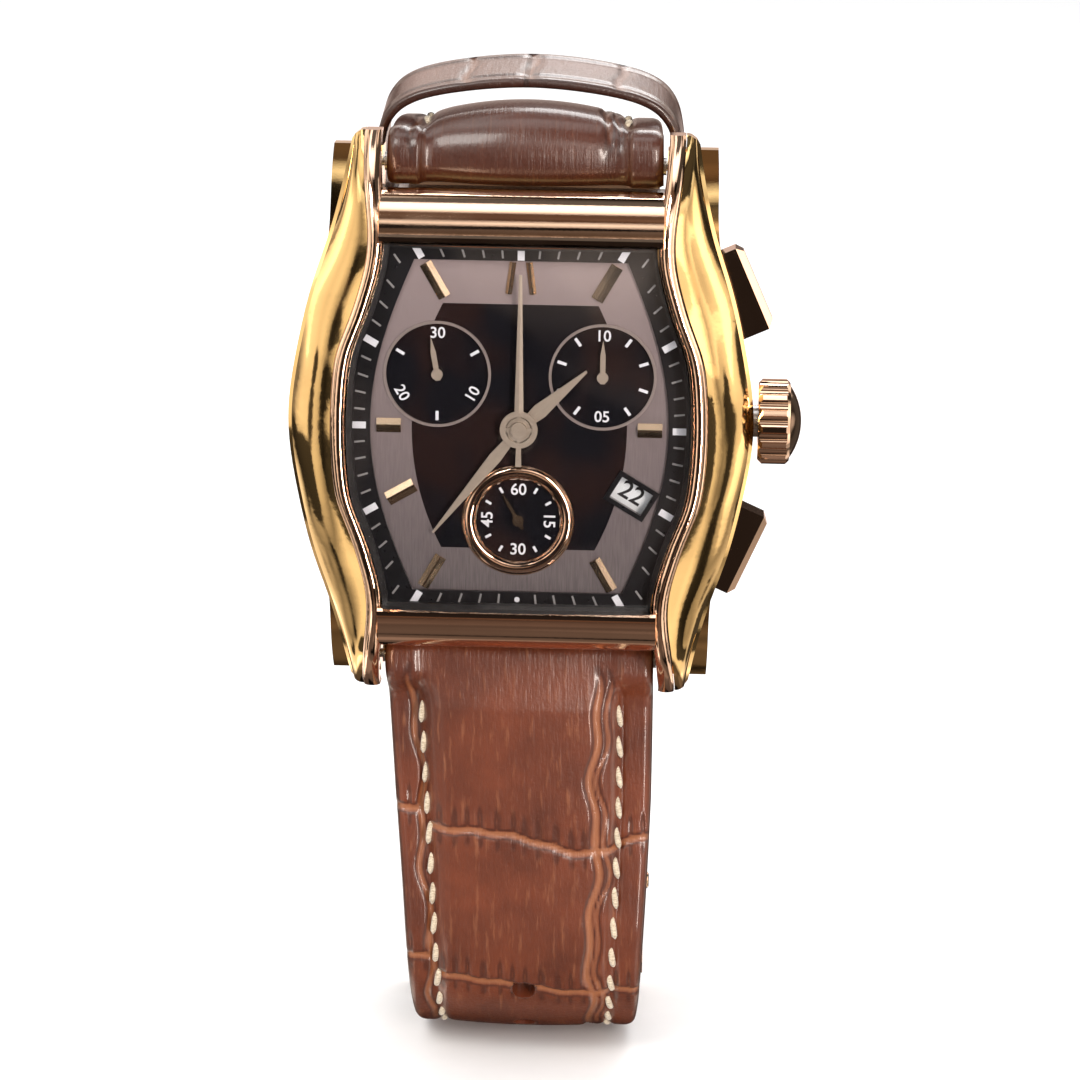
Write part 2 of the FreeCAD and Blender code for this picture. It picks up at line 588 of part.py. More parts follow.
def train_bridge():
    """Bridge on the caseback side, cut away round the battery."""
    bridge = rod(MOVEMENT_RADIUS - 0.1, BRIDGE_BOTTOM, BRIDGE_TOP)
    bridge = bridge.cut(rod(BATTERY_RADIUS + 0.3, 0, 6, *BATTERY_PLACE))
    for x, y in COUNTER_ARBORS + [(0, 0)]:
        bridge = bridge.cut(rod(ARBOR_RADIUS + RUNNING, 0, 6, x, y))
    for x, y in MOVEMENT_SCREWS:
        bridge = bridge.cut(rod(0.4, 0, 6, x, y))
    for side in (1, -1):
        bridge = bridge.cut(pusher_way(side))
    return bridge


def circuit_board():
    board = rod(12.6, 4.5, 4.8)
    board = board.cut(rod(BATTERY_RADIUS + 0.4, 0, 6, *BATTERY_PLACE))
    for x, y in COUNTER_ARBORS + [(0, 0)]:
        board = board.cut(rod(0.8, 0, 6, x, y))
    for x, y in MOVEMENT_SCREWS:
        board = board.cut(rod(1.0, 0, 6, x, y))
    return board


def battery():
    can = rod(BATTERY_RADIUS, 2.2, 4.5, *BATTERY_PLACE)
    cap = rod(BATTERY_RADIUS - 0.45, 4.5, 4.8, *BATTERY_PLACE)
    return can.fuse(cap).removeSplitter()


def battery_clamp():
    """Spring strip across the battery's outer face."""
    x, y = BATTERY_PLACE
    strip = block(x - 5.6, x + 5.6, y - 0.7, y + 0.7, 1.95, BRIDGE_BOTTOM)
    foot = block(x + 4.35, x + 5.6, y - 0.7, y + 0.7, 1.8, 1.95)
    return fuse_all([strip, foot])


def drive_coils():
    """Two wound coils on their cores."""
    coils = []
    for angle in (60, 110):
        core = Part.makeCylinder(0.3, 7.6, Vector(-3.8, 0, 3.6), X_AXIS)
        winding = Part.makeCylinder(0.75, 5.2, Vector(-2.6, 0, 3.6), X_AXIS)
        coil = moved(core.fuse(winding).removeSplitter(), y=9.6)
        coils.append(turned(coil, angle - 90))
    return Part.makeCompound(coils)


def quartz_can():
    return Part.makeCylinder(0.6, 4.6, Vector(2.6, -3.6, 3.7), X_AXIS)


def movement_screws():
    screws = []
    for x, y in MOVEMENT_SCREWS:
        head = rod(0.65, 1.85, BRIDGE_BOTTOM, x, y)
        shank = rod(0.33, BRIDGE_BOTTOM, 5.6, x, y)
        slot = block(x - 0.7, x + 0.7, y - 0.08, y + 0.08, 1.8, 1.95)
        screws.append(head.fuse(shank).removeSplitter().cut(slot))
    return Part.makeCompound(screws)


def toothed(teeth, module, z0, z1, phase=0.0, x=0.0, y=0.0, bore=0.0):
    """Gear with straight-sided teeth; phase is the direction of one tooth in degrees."""
    pitch = 360 / teeth
    root, tip = module * (teeth / 2 - 1.15), module * (teeth / 2 + 0.85)
    points = []
    for tooth in range(teeth):
        for share, radius in ((-0.29, root), (-0.11, tip), (0.11, tip), (0.29, root)):
            angle = math.radians(phase + (tooth + share) * pitch)
            points.append((x + radius * math.cos(angle), y + radius * math.sin(angle)))
    gear = plate(points, z0, z1)
    return gear.cut(rod(bore, z0 - 1, z1 + 1, x, y)) if bore else gear


def date_disc():
    """Ring under the dial that carries the day numbers, with inner teeth."""
    disc = tube(12.45, 9.0, DATE_DISC_BOTTOM, DATE_DISC_TOP)
    teeth = [moved(rod(0.3, DATE_DISC_BOTTOM, DATE_DISC_TOP), 9.0 * math.cos(a), 9.0 * math.sin(a))
             for a in (2 * math.pi * (tooth + 0.5) / DATE_TEETH for tooth in range(DATE_TEETH))]
    return disc.multiFuse(teeth).removeSplitter()


def cannon_module():
    return 2 * CENTRE_DISTANCE / (CANNON_TEETH + MINUTE_WHEEL_TEETH)


def pinion_module():
    return 2 * CENTRE_DISTANCE / (MINUTE_PINION_TEETH + HOUR_WHEEL_TEETH)


def cannon_pinion():
    pinion = toothed(CANNON_TEETH, cannon_module(), 6.45, 6.9, MINUTE_WHEEL_ANGLE)
    pipe = rod(CANNON_RADIUS, 6.45, MINUTE_HAND_LEVEL + HAND_THICKNESS)
    return fuse_all([pinion, pipe]).cut(rod(ARBOR_RADIUS + RUNNING, 0, 12))


def minute_wheel():
    x, y = minute_wheel_place()
    facing = MINUTE_WHEEL_ANGLE + 180
    wheel = toothed(MINUTE_WHEEL_TEETH, cannon_module(), 6.5, 6.75, facing + 180 / MINUTE_WHEEL_TEETH, x, y)
    pinion = toothed(MINUTE_PINION_TEETH, pinion_module(), 6.7, 7.3, facing, x, y)
    return fuse_all([wheel, pinion]).cut(rod(WHEEL_POST_RADIUS + RUNNING, 0, 12, x, y))


def hour_wheel():
    wheel = toothed(HOUR_WHEEL_TEETH, pinion_module(), 7.0, 7.25, MINUTE_WHEEL_ANGLE + 180 / HOUR_WHEEL_TEETH)
    pipe = rod(HOUR_TUBE_RADIUS, 7.0, HOUR_HAND_LEVEL + HAND_THICKNESS)
    return fuse_all([wheel, pipe]).cut(rod(CANNON_RADIUS + RUNNING, 0, 12))


def chrono_arbor():
    return rod(ARBOR_RADIUS, BRIDGE_BOTTOM, CHRONO_HAND_LEVEL + HAND_THICKNESS)


def counter_arbor(place):
    x, y = place
    return rod(ARBOR_RADIUS, BRIDGE_BOTTOM, DIAL_TOP + 0.32, x, y)


# ---------------------------------------------------------------- hands
def hand(outline, level, thickness, ridge=0.0):
    """Flat hand pointing along +y; a ridge raises its middle line into two facets."""
    blade = plate(outline, level, level + thickness + ridge)
    if not ridge:
        return blade
    length = max(y for x, y in outline) + 1
    back = min(y for x, y in outline) - 1
    half = max(x for x, y in outline)
    top = level + thickness + ridge
    for side in (1, -1):
        wedge = polygon_face([(0, back, top), (side * 2 * half, back, top + 0.01),
                              (side * 2 * half, back, top - 2 * ridge)])
        blade = blade.cut(wedge.extrude(Vector(0, length - back, 0)))
    return blade


def hub_on(shape, radius, bore, level, height, x=0.0, y=0.0):
    return shape.fuse(rod(radius, level, level + height, x, y)).cut(rod(bore, level - 1, level + 2, x, y))


def hour_hand():
    blade = hand([(-0.32, 0), (-0.62, 2.2), (-0.1, 7.1), (0.1, 7.1), (0.62, 2.2), (0.32, 0)],
                 HOUR_HAND_LEVEL, 0.06, 0.06)
    whole = hub_on(blade, 1.15, HOUR_TUBE_RADIUS, HOUR_HAND_LEVEL, HAND_THICKNESS)
    return turned(whole.removeSplitter(), -(30 * HOURS + MINUTES / 2))


def minute_hand():
    blade = hand([(-0.28, 0), (-0.5, 3.0), (-0.08, 10.9), (0.08, 10.9), (0.5, 3.0), (0.28, 0)],
                 MINUTE_HAND_LEVEL, 0.06, 0.06)
    whole = hub_on(blade, 0.95, CANNON_RADIUS, MINUTE_HAND_LEVEL, HAND_THICKNESS)
    return turned(whole.removeSplitter(), -6 * MINUTES)


def chrono_hand():
    """Central chronograph hand: long needle, open ring about the hub and a short tail."""
    needle = hand([(-0.36, 1.3), (-0.12, 12.4), (0.12, 12.4), (0.36, 1.3)], CHRONO_HAND_LEVEL, 0.06, 0.05)
    tail = plate([(-0.24, -3.0), (-0.2, -1.3), (0.2, -1.3), (0.24, -3.0)], CHRONO_HAND_LEVEL,
                 CHRONO_HAND_LEVEL + 0.1)
    ring = tube(1.5, 1.05, CHRONO_HAND_LEVEL, CHRONO_HAND_LEVEL + 0.1)
    spokes = block(-1.2, 1.2, -0.15, 0.15, CHRONO_HAND_LEVEL, CHRONO_HAND_LEVEL + 0.06)
    spokes = spokes.fuse(turned(spokes, 90))
    whole = fuse_all([needle, tail, ring, spokes])
    whole = whole.fuse(rod(0.62, CHRONO_HAND_LEVEL, CHRONO_HAND_LEVEL + 0.3))
    return whole.cut(rod(ARBOR_RADIUS, 0, CHRONO_HAND_LEVEL + HAND_THICKNESS)).removeSplitter()


def small_hand(place, angle, tip, tail, width):
    """Thin counter hand with a hub, seated on its arbor."""
    level = DIAL_TOP + 0.2
    outline = [(-width / 2, -tail), (-width / 2, tip * 0.6), (0, tip), (width / 2, tip * 0.6), (width / 2, -tail)]
    blade = plate(outline, level, level + 0.08)
    blade = blade.fuse(rod(0.45, level - 0.05, level + 0.16))
    blade = blade.cut(rod(ARBOR_RADIUS, 0, level + 0.12)).removeSplitter()
    return moved(turned(blade, -angle), *place)


# ---------------------------------------------------------------- strap
class Route:
    """Line in the Y-Z plane made of straight runs and tangent arcs, read by distance along it."""

    def __init__(self, y, z, heading):
        self.legs = []
        self.end = (y, z, heading)
        self.length = 0.0

    def straight(self, length):
        self.add(length, 0.0)

    def arc(self, radius, turn):
        """Turn by degrees, to the left when positive, seen with Y to the right and Z up."""
        self.add(radius * math.radians(abs(turn)), math.copysign(1 / radius, turn))

    def add(self, length, curvature):
        self.legs.append((self.length, self.end, curvature))
        self.length += length
        self.end = self.at(self.length)

    def at(self, s):
        """(y, z, heading in degrees) at distance s."""
        start, (y, z, heading), curvature = [leg for leg in self.legs if leg[0] <= s + 1e-9][-1]
        run = s - start
        angle = math.radians(heading)
        if curvature == 0.0:
            return y + run * math.cos(angle), z + run * math.sin(angle), heading
        new = angle + run * curvature
        y += (math.sin(new) - math.sin(angle)) / curvature
        z -= (math.cos(new) - math.cos(angle)) / curvature
        return y, z, math.degrees(new)


def lower_route():
    """From the lower spring bar down the front, round the bottom turn and up the back."""
    route = Route(BAR_Y, -BAR_Z, -90)
    route.straight(-BAR_Z - BEND_Z)
    route.arc(BEND_RADIUS, 180)
    route.straight(LOWER_TIP_Z - BEND_Z)
    return route


def upper_route():
    """From the upper spring bar over the wrist and down the back to the buckle bar."""
    route = Route(BAR_Y, BAR_Z, 90)
    route.arc(NECK_RADIUS, -NECK_TURN)
    route.arc(ARCH_RADIUS, NECK_TURN - 180)
    route.straight(route.end[1] - BUCKLE_Z)
    return route


def stations(start, end, step=2.5):
    count = max(1, round((end - start) / step))
    return [start + (end - start) * index / count for index in range(count + 1)]


def band(route, width, section_at):
    """Solid along the route; section_at(s) lists (share of the half-width, offset to the left)."""
    wires = []
    for s in stations(0.0, route.length):
        y, z, heading = route.at(s)
        angle = math.radians(heading)
        left = Vector(0, -math.sin(angle), math.cos(angle))
        half = along_table(width, s) / 2
        corners = [Vector(share * half, y, z) + left * offset for share, offset in section_at(s)]
        wires.append(Part.makePolygon(corners + corners[:1]))
    return Part.makeLoft(wires, True, True)


def crossways(radius, y, z, half_length):
    """Rod along X through (y, z)."""
    return Part.makeCylinder(radius, 2 * half_length, Vector(-half_length, y, z), X_AXIS)


def strap_half(route, thickness, width, side, lining):
    """Leather or lining of one strap half; side is +1 when the wrist lies left of the route."""
    def section(s):
        half = along_table(thickness, s) / 2
        seam = side * (half - LINING)
        if lining:
            return [(-1, seam), (1, seam), (1, side * half), (-1, side * half)]
        return [(-1, seam), (1, seam), (1, 0), (PADDED_SHARE, -side * half), (-PADDED_SHARE, -side * half), (-1, 0)]
    return band(route, width, section)


def lower_strap(lining=False):
    route = lower_route()
    half = strap_half(route, LOWER_THICKNESS, LOWER_WIDTH, 1, lining)
    loop = crossways(LOOP_RADIUS, BAR_Y, -BAR_Z, 11.0)
    half = half.cut(loop) if lining else half.fuse(loop).removeSplitter()
    half = half.cut(crossways(BAR_RADIUS + 0.05, BAR_Y, -BAR_Z, 12))
    for index in range(HOLE_COUNT):
        half = half.cut(strap_hole(route, HOLE_FIRST + index * HOLE_PITCH))
    return half.cut(buckle_slot(route))


def strap_hole(route, s):
    y, z, heading = route.at(s)
    angle = math.radians(heading)
    left = Vector(0, -math.sin(angle), math.cos(angle))
    return Part.makeCylinder(STRAP_HOLE_RADIUS, 10, Vector(0, y, z) - left * 5, left)


def buckle_slot(route):
    """The hole in use, drawn out along the strap by the tongue."""
    points = [strap_hole(route, s) for s in stations(TONGUE_HOLE - 1.4, TONGUE_HOLE + 4.6, 0.8)]
    return points[0].multiFuse(points[1:])


def upper_strap(lining=False):
    route = upper_route()
    half = strap_half(route, UPPER_THICKNESS, UPPER_WIDTH, -1, lining)
    loops = [crossways(LOOP_RADIUS, BAR_Y, BAR_Z, 11.0), crossways(LOOP_RADIUS, route.end[0], BUCKLE_Z, 9.4)]
    half = half.cut(loops) if lining else half.fuse(loops).removeSplitter()
    half = half.cut(crossways(BAR_RADIUS + 0.05, BAR_Y, BAR_Z, 12))
    half = half.cut(crossways(BUCKLE_BAR_RADIUS + 0.05, route.end[0], BUCKLE_Z, 12))
    return half.cut(block(-1.5, 1.5, route.end[0] - 4, route.end[0] + 4, BUCKLE_Z - 3, BUCKLE_Z + 2.6))


def spring_bars():
    """Two bars with thin sprung ends in the lugs."""
    bars = []
    for z in (BAR_Z, -BAR_Z):
        barrel_part = crossways(BAR_RADIUS, BAR_Y, z, LUG_GAP_HALF - 0.1)
        ends = crossways(0.4, BAR_Y, z, LUG_GAP_HALF + 1.1)
        bars.append(barrel_part.fuse(ends).removeSplitter())
    return Part.makeCompound(bars)


def loop_outline(crown, right):
    """Closed (x, height) outline from its crown and right-hand points, with a flat foot."""
    return [(0, crown)] + right + [(0, 0)] + [(-x, h) for x, h in reversed(right)]


def keeper_loop(outline_outer, outline_inner, width, place, tilt):
    """Leather loop: outlines are (x, height) points, the band runs for width along its tilted axis."""
    def prism(points, start, run):
        curve = smooth_edge([(x, start, h) for x, h in points], closed=True)
        return Part.Face(Part.Wire(curve.toShape())).extrude(Vector(0, run, 0))
    loop = prism(outline_outer, -width / 2, width).cut(prism(outline_inner, -width, 2 * width))
    return moved(turned(loop, tilt, axis=X_AXIS), 0, *place)


def free_keeper():
    """Empty arched loop, leaning a little to the front, still high on the upper half."""
    arch = loop_outline(KEEPER_CROWN, KEEPER_SIDE)
    inside = [(x * 0.94, 0.9 + h * 0.862) for x, h in arch]
    return keeper_loop(arch, inside, KEEPER_WIDTH, KEEPER_PLACE, KEEPER_TILT)


def fixed_keeper():
    """Flat loop just above the buckle, round both halves."""
    loop = loop_outline(FIXED_KEEPER_CROWN, FIXED_KEEPER_SIDE)
    inside = [(x * 0.918, 1.0 + h * 0.79) for x, h in loop]
    return keeper_loop(loop, inside, FIXED_KEEPER_WIDTH, FIXED_KEEPER_PLACE, -90)


# ---------------------------------------------------------------- buckle
def buckle_pivot():
    y, z, heading = upper_route().end
    return y, z


def polar(centre, reach, angle):
    """Point at a distance and an angle in degrees from a centre in the Y-Z plane."""
    radians = math.radians(angle)
    return centre[0] + reach * math.cos(radians), centre[1] + reach * math.sin(radians)


def bow_place():
    return polar((BEND_Y, BEND_Z), BOW_REACH, BOW_ANGLE)


def buckle_bar():
    y, z = buckle_pivot()
    reach = FRAME_OUTER + BAR_REACH
    bar = crossways(BUCKLE_BAR_RADIUS, y, z, reach)
    return bar.makeFillet(0.3, [edge for edge in bar.Edges if abs(abs(edge.CenterOfMass.x) - reach) < 0.01])


def link(places, radii, x0, x1):
    """Plate that wraps circles of the given radii, from x0 to x1."""
    parts = []
    for (y, z), radius in zip(places, radii):
        parts.append(Part.makeCylinder(radius, x1 - x0, Vector(x0, y, z), X_AXIS))
    for (a, b), (ra, rb) in zip(zip(places, places[1:]), zip(radii, radii[1:])):
        along = Vector(0, b[0] - a[0], b[1] - a[1]).normalize()
        side = X_AXIS.cross(along)
        corners = [Vector(x0, *a) + side * ra, Vector(x0, *b) + side * rb,
                   Vector(x0, *b) - side * rb, Vector(x0, *a) - side * ra]
        parts.append(polygon_face(corners).extrude(Vector(x1 - x0, 0, 0)))
    return fuse_all(parts)


def buckle_frame():
    """Two side arms and a round bow, turning on the buckle bar."""
    pivot, bow = buckle_pivot(), bow_place()
    elbow = (pivot[0] + ELBOW_Y, pivot[1] + ELBOW_Z)
    arm = link([pivot, elbow, bow], [1.5, 1.2, BOW_RADIUS], FRAME_INNER, FRAME_OUTER)
    frame = fuse_all([arm, mirrored(arm), crossways(BOW_RADIUS, *bow, FRAME_OUTER)])
    return frame.cut(crossways(BUCKLE_BAR_RADIUS + 0.05, *pivot, FRAME_OUTER + 1))


def buckle_tongue():
    """Tongue hooked on the bar, through the strap and over the bow."""
    pivot, bow = buckle_pivot(), bow_place()
    knee = polar((BEND_Y, BEND_Z), 14.2, -29)
    rest = polar(bow, 1.95, BOW_ANGLE + 29)
    tip = polar(bow, 1.85, BOW_ANGLE - 27)
    body = link([pivot, knee, rest, tip], [1.25, 0.62, 0.55, 0.4], -TONGUE_HALF, TONGUE_HALF)
    return body.cut(crossways(BUCKLE_BAR_RADIUS + 0.06, *pivot, 3))


# ---------------------------------------------------------------- export
def to_part_frame(shape):
    """From the watch head's frame to the part's: the dial faces -Y and 12 o'clock is +Z."""
    return turned(shape, 90, axis=X_AXIS)


WATCH_HEAD = {
    "case_middle": case_middle,
    "right_flank": right_flank,
    "left_flank": lambda: mirrored(right_flank()),
    "bezel": bezel,
    "crystal": crystal,
    "crystal_gasket": crystal_gasket,
    "flange": flange,
    "dial": dial,
    "counter_rings": counter_rings,
    "seconds_ring": seconds_ring,
    "date_frame": date_frame,
    "hour_markers": hour_markers,
    "caseback": caseback,
    "caseback_gasket": caseback_gasket,
    "caseback_screws": caseback_screws,
    "crown": crown,
    "stem": stem,
    "crown_tube": crown_tube,
    "crown_gasket": crown_gasket,
    "start_pusher": lambda: pusher(1),
    "start_pusher_stem": lambda: pusher_stem(1),
    "start_pusher_spring": lambda: pusher_spring(1),
    "reset_pusher": lambda: pusher(-1),
    "reset_pusher_stem": lambda: pusher_stem(-1),
    "reset_pusher_spring": lambda: pusher_spring(-1),
    "pusher_tubes": lambda: Part.makeCompound([pusher_tube(1), pusher_tube(-1)]),
    "movement_holder": movement_holder,
    "main_plate": main_plate,
    "train_bridge": train_bridge,
    "circuit_board": circuit_board,
    "battery": battery,
    "battery_clamp": battery_clamp,
    "drive_coils": drive_coils,
    "quartz_can": quartz_can,
    "movement_screws": movement_screws,
    "date_disc": date_disc,
    "cannon_pinion": cannon_pinion,
    "minute_wheel": minute_wheel,
    "hour_wheel": hour_wheel,
    "chrono_arbor": chrono_arbor,
    "minute_counter_arbor": lambda: counter_arbor(COUNTER_ARBORS[0]),
    "tenth_counter_arbor": lambda: counter_arbor(COUNTER_ARBORS[1]),
    "seconds_arbor": lambda: counter_arbor(COUNTER_ARBORS[2]),
    "hour_hand": hour_hand,
    "minute_hand": minute_hand,
    "chrono_hand": chrono_hand,
    "minute_counter_hand": lambda: small_hand(COUNTER_ARBORS[0], MINUTE_COUNT_ANGLE, 3.0, 0.5, 0.42),
    "tenth_counter_hand": lambda: small_hand(COUNTER_ARBORS[1], 0.0, 3.0, 0.5, 0.42),
    "seconds_hand": lambda: small_hand(COUNTER_ARBORS[2], 6 * SECONDS, 2.7, 0.8, 0.26),
}

STRAP = {
    "upper_strap": upper_strap,
    "upper_strap_lining": lambda: upper_strap(lining=True),
    "lower_strap": lower_strap,
    "lower_strap_lining": lambda: lower_strap(lining=True),
    "spring_bars": spring_bars,
    "free_keeper": free_keeper,
    "fixed_keeper": fixed_keeper,
    "buckle_bar": buckle_bar,
    "buckle_frame": buckle_frame,
    "buckle_tongue": buckle_tongue,
}


def main():
    os.makedirs("parts", exist_ok=True)
    for name, make in WATCH_HEAD.items():
        to_part_frame(make()).exportStep(f"parts/{name}.step")
    for name, make in STRAP.items():
        make().exportStep(f"parts/{name}.step")


main()
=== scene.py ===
import json
import math
import random

import bpy
import numpy as np
from mathutils import Matrix, Vector


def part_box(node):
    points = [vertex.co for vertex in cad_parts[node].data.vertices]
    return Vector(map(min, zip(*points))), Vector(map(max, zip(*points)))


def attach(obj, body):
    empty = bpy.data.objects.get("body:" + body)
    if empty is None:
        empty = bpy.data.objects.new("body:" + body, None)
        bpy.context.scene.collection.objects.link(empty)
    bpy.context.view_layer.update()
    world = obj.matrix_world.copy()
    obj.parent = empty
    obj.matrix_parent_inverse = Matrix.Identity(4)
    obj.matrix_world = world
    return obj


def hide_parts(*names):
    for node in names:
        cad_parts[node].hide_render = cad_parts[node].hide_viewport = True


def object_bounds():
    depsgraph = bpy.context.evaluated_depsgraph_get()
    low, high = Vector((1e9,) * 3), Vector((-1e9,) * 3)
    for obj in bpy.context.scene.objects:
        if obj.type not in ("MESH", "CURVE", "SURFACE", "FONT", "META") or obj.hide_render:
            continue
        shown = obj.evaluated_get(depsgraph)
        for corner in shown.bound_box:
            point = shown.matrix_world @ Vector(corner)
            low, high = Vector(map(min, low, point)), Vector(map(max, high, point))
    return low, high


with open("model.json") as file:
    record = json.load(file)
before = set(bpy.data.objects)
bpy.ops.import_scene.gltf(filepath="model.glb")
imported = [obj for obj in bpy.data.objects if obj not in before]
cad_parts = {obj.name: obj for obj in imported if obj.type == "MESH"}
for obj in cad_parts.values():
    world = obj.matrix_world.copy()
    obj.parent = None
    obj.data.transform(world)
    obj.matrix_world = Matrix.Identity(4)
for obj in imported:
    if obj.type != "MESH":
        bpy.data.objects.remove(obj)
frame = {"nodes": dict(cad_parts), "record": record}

# The chronograph wristwatch: camera, stage, finishes, dial print and leather.
# Lengths are in millimetres in the code and become metres when a mesh is made.
MM = 0.001
cad_low, cad_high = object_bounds()
random.seed(7)


def middle(node):
    low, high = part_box(node)
    return (low + high) / 2 / MM


def front(node):
    """Height in front of the part's origin plane, toward the wearer."""
    return -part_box(node)[0].y / MM


DIAL_LEVEL = front("dial")
FLANGE_LEVEL = front("flange")
DISC_LEVEL = front("date_disc")
LEFT_COUNTER = middle("minute_counter_arbor")
RIGHT_COUNTER = middle("tenth_counter_arbor")
SECONDS_COUNTER = middle("seconds_arbor")
DATE_WINDOW = middle("date_frame")
COUNTER_RADIUS, SECONDS_RADIUS = 4.05, 3.35
COUNTER_FLOOR = DIAL_LEVEL - 0.15

# ---- Dial print: the black panel, and the track as (height, half-width) ----
PANEL_HALF_HEIGHT, PANEL_CORNER = 9.9, 8.6
PANEL_TOP_HALF, PANEL_CORNER_HALF, PANEL_WIDEST = 6.2, 6.75, 8.55
TRACK = [(0, 12.75), (3, 12.6), (5.5, 12.15), (8, 11.45), (10.5, 10.5), (14, 9.6)]
TRACK_END = 14.02               # height of the track's straight runs at 12 and 6

# ---- Colours ----
YELLOW_GOLD, ROSE_GOLD = (0.90, 0.62, 0.27), (0.92, 0.64, 0.46)

# ---- Studio that polished metal sees: brightness by height, sideways, behind, and in patches ----
SKY = [(0.0, (0.16, 0.12, 0.10)), (0.26, (0.05, 0.032, 0.024)), (0.34, (0.42, 0.32, 0.27)),
       (0.42, (0.36, 0.27, 0.23)), (0.47, (0.08, 0.045, 0.03)), (0.53, (0.75, 0.58, 0.46)),
       (0.58, (0.10, 0.07, 0.05)), (0.70, (0.25, 0.20, 0.17)), (0.78, (1.6, 1.5, 1.4)),
       (0.84, (0.10, 0.06, 0.04)), (0.94, (0.16, 0.10, 0.07)), (0.98, (2.6, 2.5, 2.4)),
       (1.0, (2.6, 2.6, 2.6))]
WALL_SHARE = [(0.0, 0.0), (0.40, 0.0), (0.50, 1.0), (0.72, 0.9), (0.82, 0.25), (1.0, 1.0)]
WALL_COLOUR = (1.5, 1.3, 1.12)
BACK_WALL = [(0.0, (0.0, 0.0, 0.0)), (0.72, (0.0, 0.0, 0.0)), (0.90, (0.85, 0.66, 0.58))]
PATCHES = [(0.42, 0.05), (0.45, 0.75), (0.58, 1.0), (0.62, 1.9)]

# ---- Camera ----
DIAL_CENTRE = Vector((0, -DIAL_LEVEL, 0)) * MM
VIEW_AZIMUTH, VIEW_ELEVATION, VIEW_ROLL = 2.6, 12.0, 0.8
VIEW_DISTANCE, LENS = 0.300, 126.0
AIM_RIGHT, AIM_DOWN = 0.00176, 0.0089       # from the dial's centre to the middle of the frame

# ---- Leather ----
BAR_Y, BAR_Z = -2.6, 20.3
BEND_Z, BEND_RADIUS, LOWER_TIP_Z = -43.0, 11.6, 9.0
NECK_RADIUS, NECK_TURN, ARCH_RADIUS, BUCKLE_Z = 2.3, 80.0, 15.0, -46.0
LOOP_RADIUS = 1.65
LOWER_WIDTH = [(0, 22.0), (12, 21.2), (25, 19.8), (40, 18.4), (200, 18.4)]
UPPER_WIDTH = [(0, 22.0), (8, 21.4), (20, 21.2), (50, 18.4), (200, 18.4)]
LOWER_THICKNESS = [(0, 3.3), (4, 5.0), (14, 4.4), (28, 3.2), (40, 2.6), (200, 2.6)]
UPPER_THICKNESS = [(0, 3.3), (2.5, 4.2), (8, 3.8), (14, 3.2), (30, 3.0), (45, 2.6), (200, 2.6)]
MARGIN_THICKNESS = 2.5          # of the strap outside its stitching
SEAM = 0.745                    # stitching line, as a share of the half-width
STITCH_PITCH, STITCH_LENGTH, STITCH_WIDTH = 2.62, 2.15, 0.54
HOLES = [28.7 + 5.5 * index for index in range(7)]
TONGUE_SLOT = (53.2, 59.2)
HOLE_RADIUS = 0.95
# Creases across each half: (distance along it, sag, slant)
LOWER_CREASES = [(14.6, 1.7, 0.1), (28.1, 0.6, 0.8), (41.3, 0.9, -0.5), (54.0, 0.5, 0.6),
                 (66.8, 1.0, -0.3), (79.5, 0.4, 0.5), (92.0, 0.8, -0.4), (103.0, 0.5, 0.3)]
UPPER_CREASES = [(13.5, 0.9, 0.3), (25.5, 0.5, -0.5), (37.0, 0.9, 0.4), (48.5, 0.6, -0.3),
                 (60.0, 0.8, 0.5), (71.5, 0.5, -0.2)]
CREASE_DEPTH, COMB_DEPTH, CHANNEL_DEPTH, EDGE_ROUND = 0.36, 0.13, 0.28, 0.9
STITCHES_START = 3.4
# Keepers: (x, height) from the crown down the right-hand side, and the (y, z) of the foot
FREE_KEEPER = [(5.4, 11.85), (9.6, 10.8), (11.7, 9.0), (12.5, 6.0), (12.5, 2.1), (12.4, 0.7),
               (11.9, 0.12), (10.8, 0)]
FREE_CROWN, FREE_PLACE, FREE_TILT = 12.3, (7.2, 15.0), math.radians(9.0)
FIXED_KEEPER = [(5.7, 9.35), (9.1, 9.2), (10.2, 8.5), (10.4, 7.0), (10.4, 2.3), (10.2, 0.8), (9.1, 0.1)]
FIXED_CROWN, FIXED_PLACE = 9.4, (14.1, -35.5)


# ---------------------------------------------------------------- camera and stage
def make_camera():
    azimuth, elevation = math.radians(VIEW_AZIMUTH), math.radians(VIEW_ELEVATION)
    back = Vector((math.sin(azimuth) * math.cos(elevation), -math.cos(azimuth) * math.cos(elevation),
                   math.sin(elevation)))
    level = (-back).to_track_quat("-Z", "Y").to_matrix()
    right, up = level.col[0], level.col[1]
    camera = bpy.data.objects.new("camera", bpy.data.cameras.new("camera"))
    camera.data.lens = LENS
    camera.data.clip_start, camera.data.clip_end = 0.01, 20.0
    place = DIAL_CENTRE + back * VIEW_DISTANCE
    look = DIAL_CENTRE + right * AIM_RIGHT - up * AIM_DOWN - place
    turn = look.to_track_quat("-Z", "Y").to_matrix() @ Matrix.Rotation(math.radians(VIEW_ROLL), 3, "Z")
    camera.matrix_world = Matrix.Translation(place) @ turn.to_4x4()
    bpy.context.scene.collection.objects.link(camera)
    bpy.context.scene.camera = camera


def area_light(name, place, size, power, colour=(1, 1, 1)):
    """Soft box that faces the middle of the watch."""
    lamp = bpy.data.lights.new(name, "AREA")
    lamp.shape = "RECTANGLE"
    lamp.size, lamp.size_y = size
    lamp.energy = power
    lamp.color = colour
    box = bpy.data.objects.new(name, lamp)
    bpy.context.scene.collection.objects.link(box)
    box.location = place
    box.rotation_euler = (DIAL_CENTRE - Vector(place)).to_track_quat("-Z", "Y").to_euler()


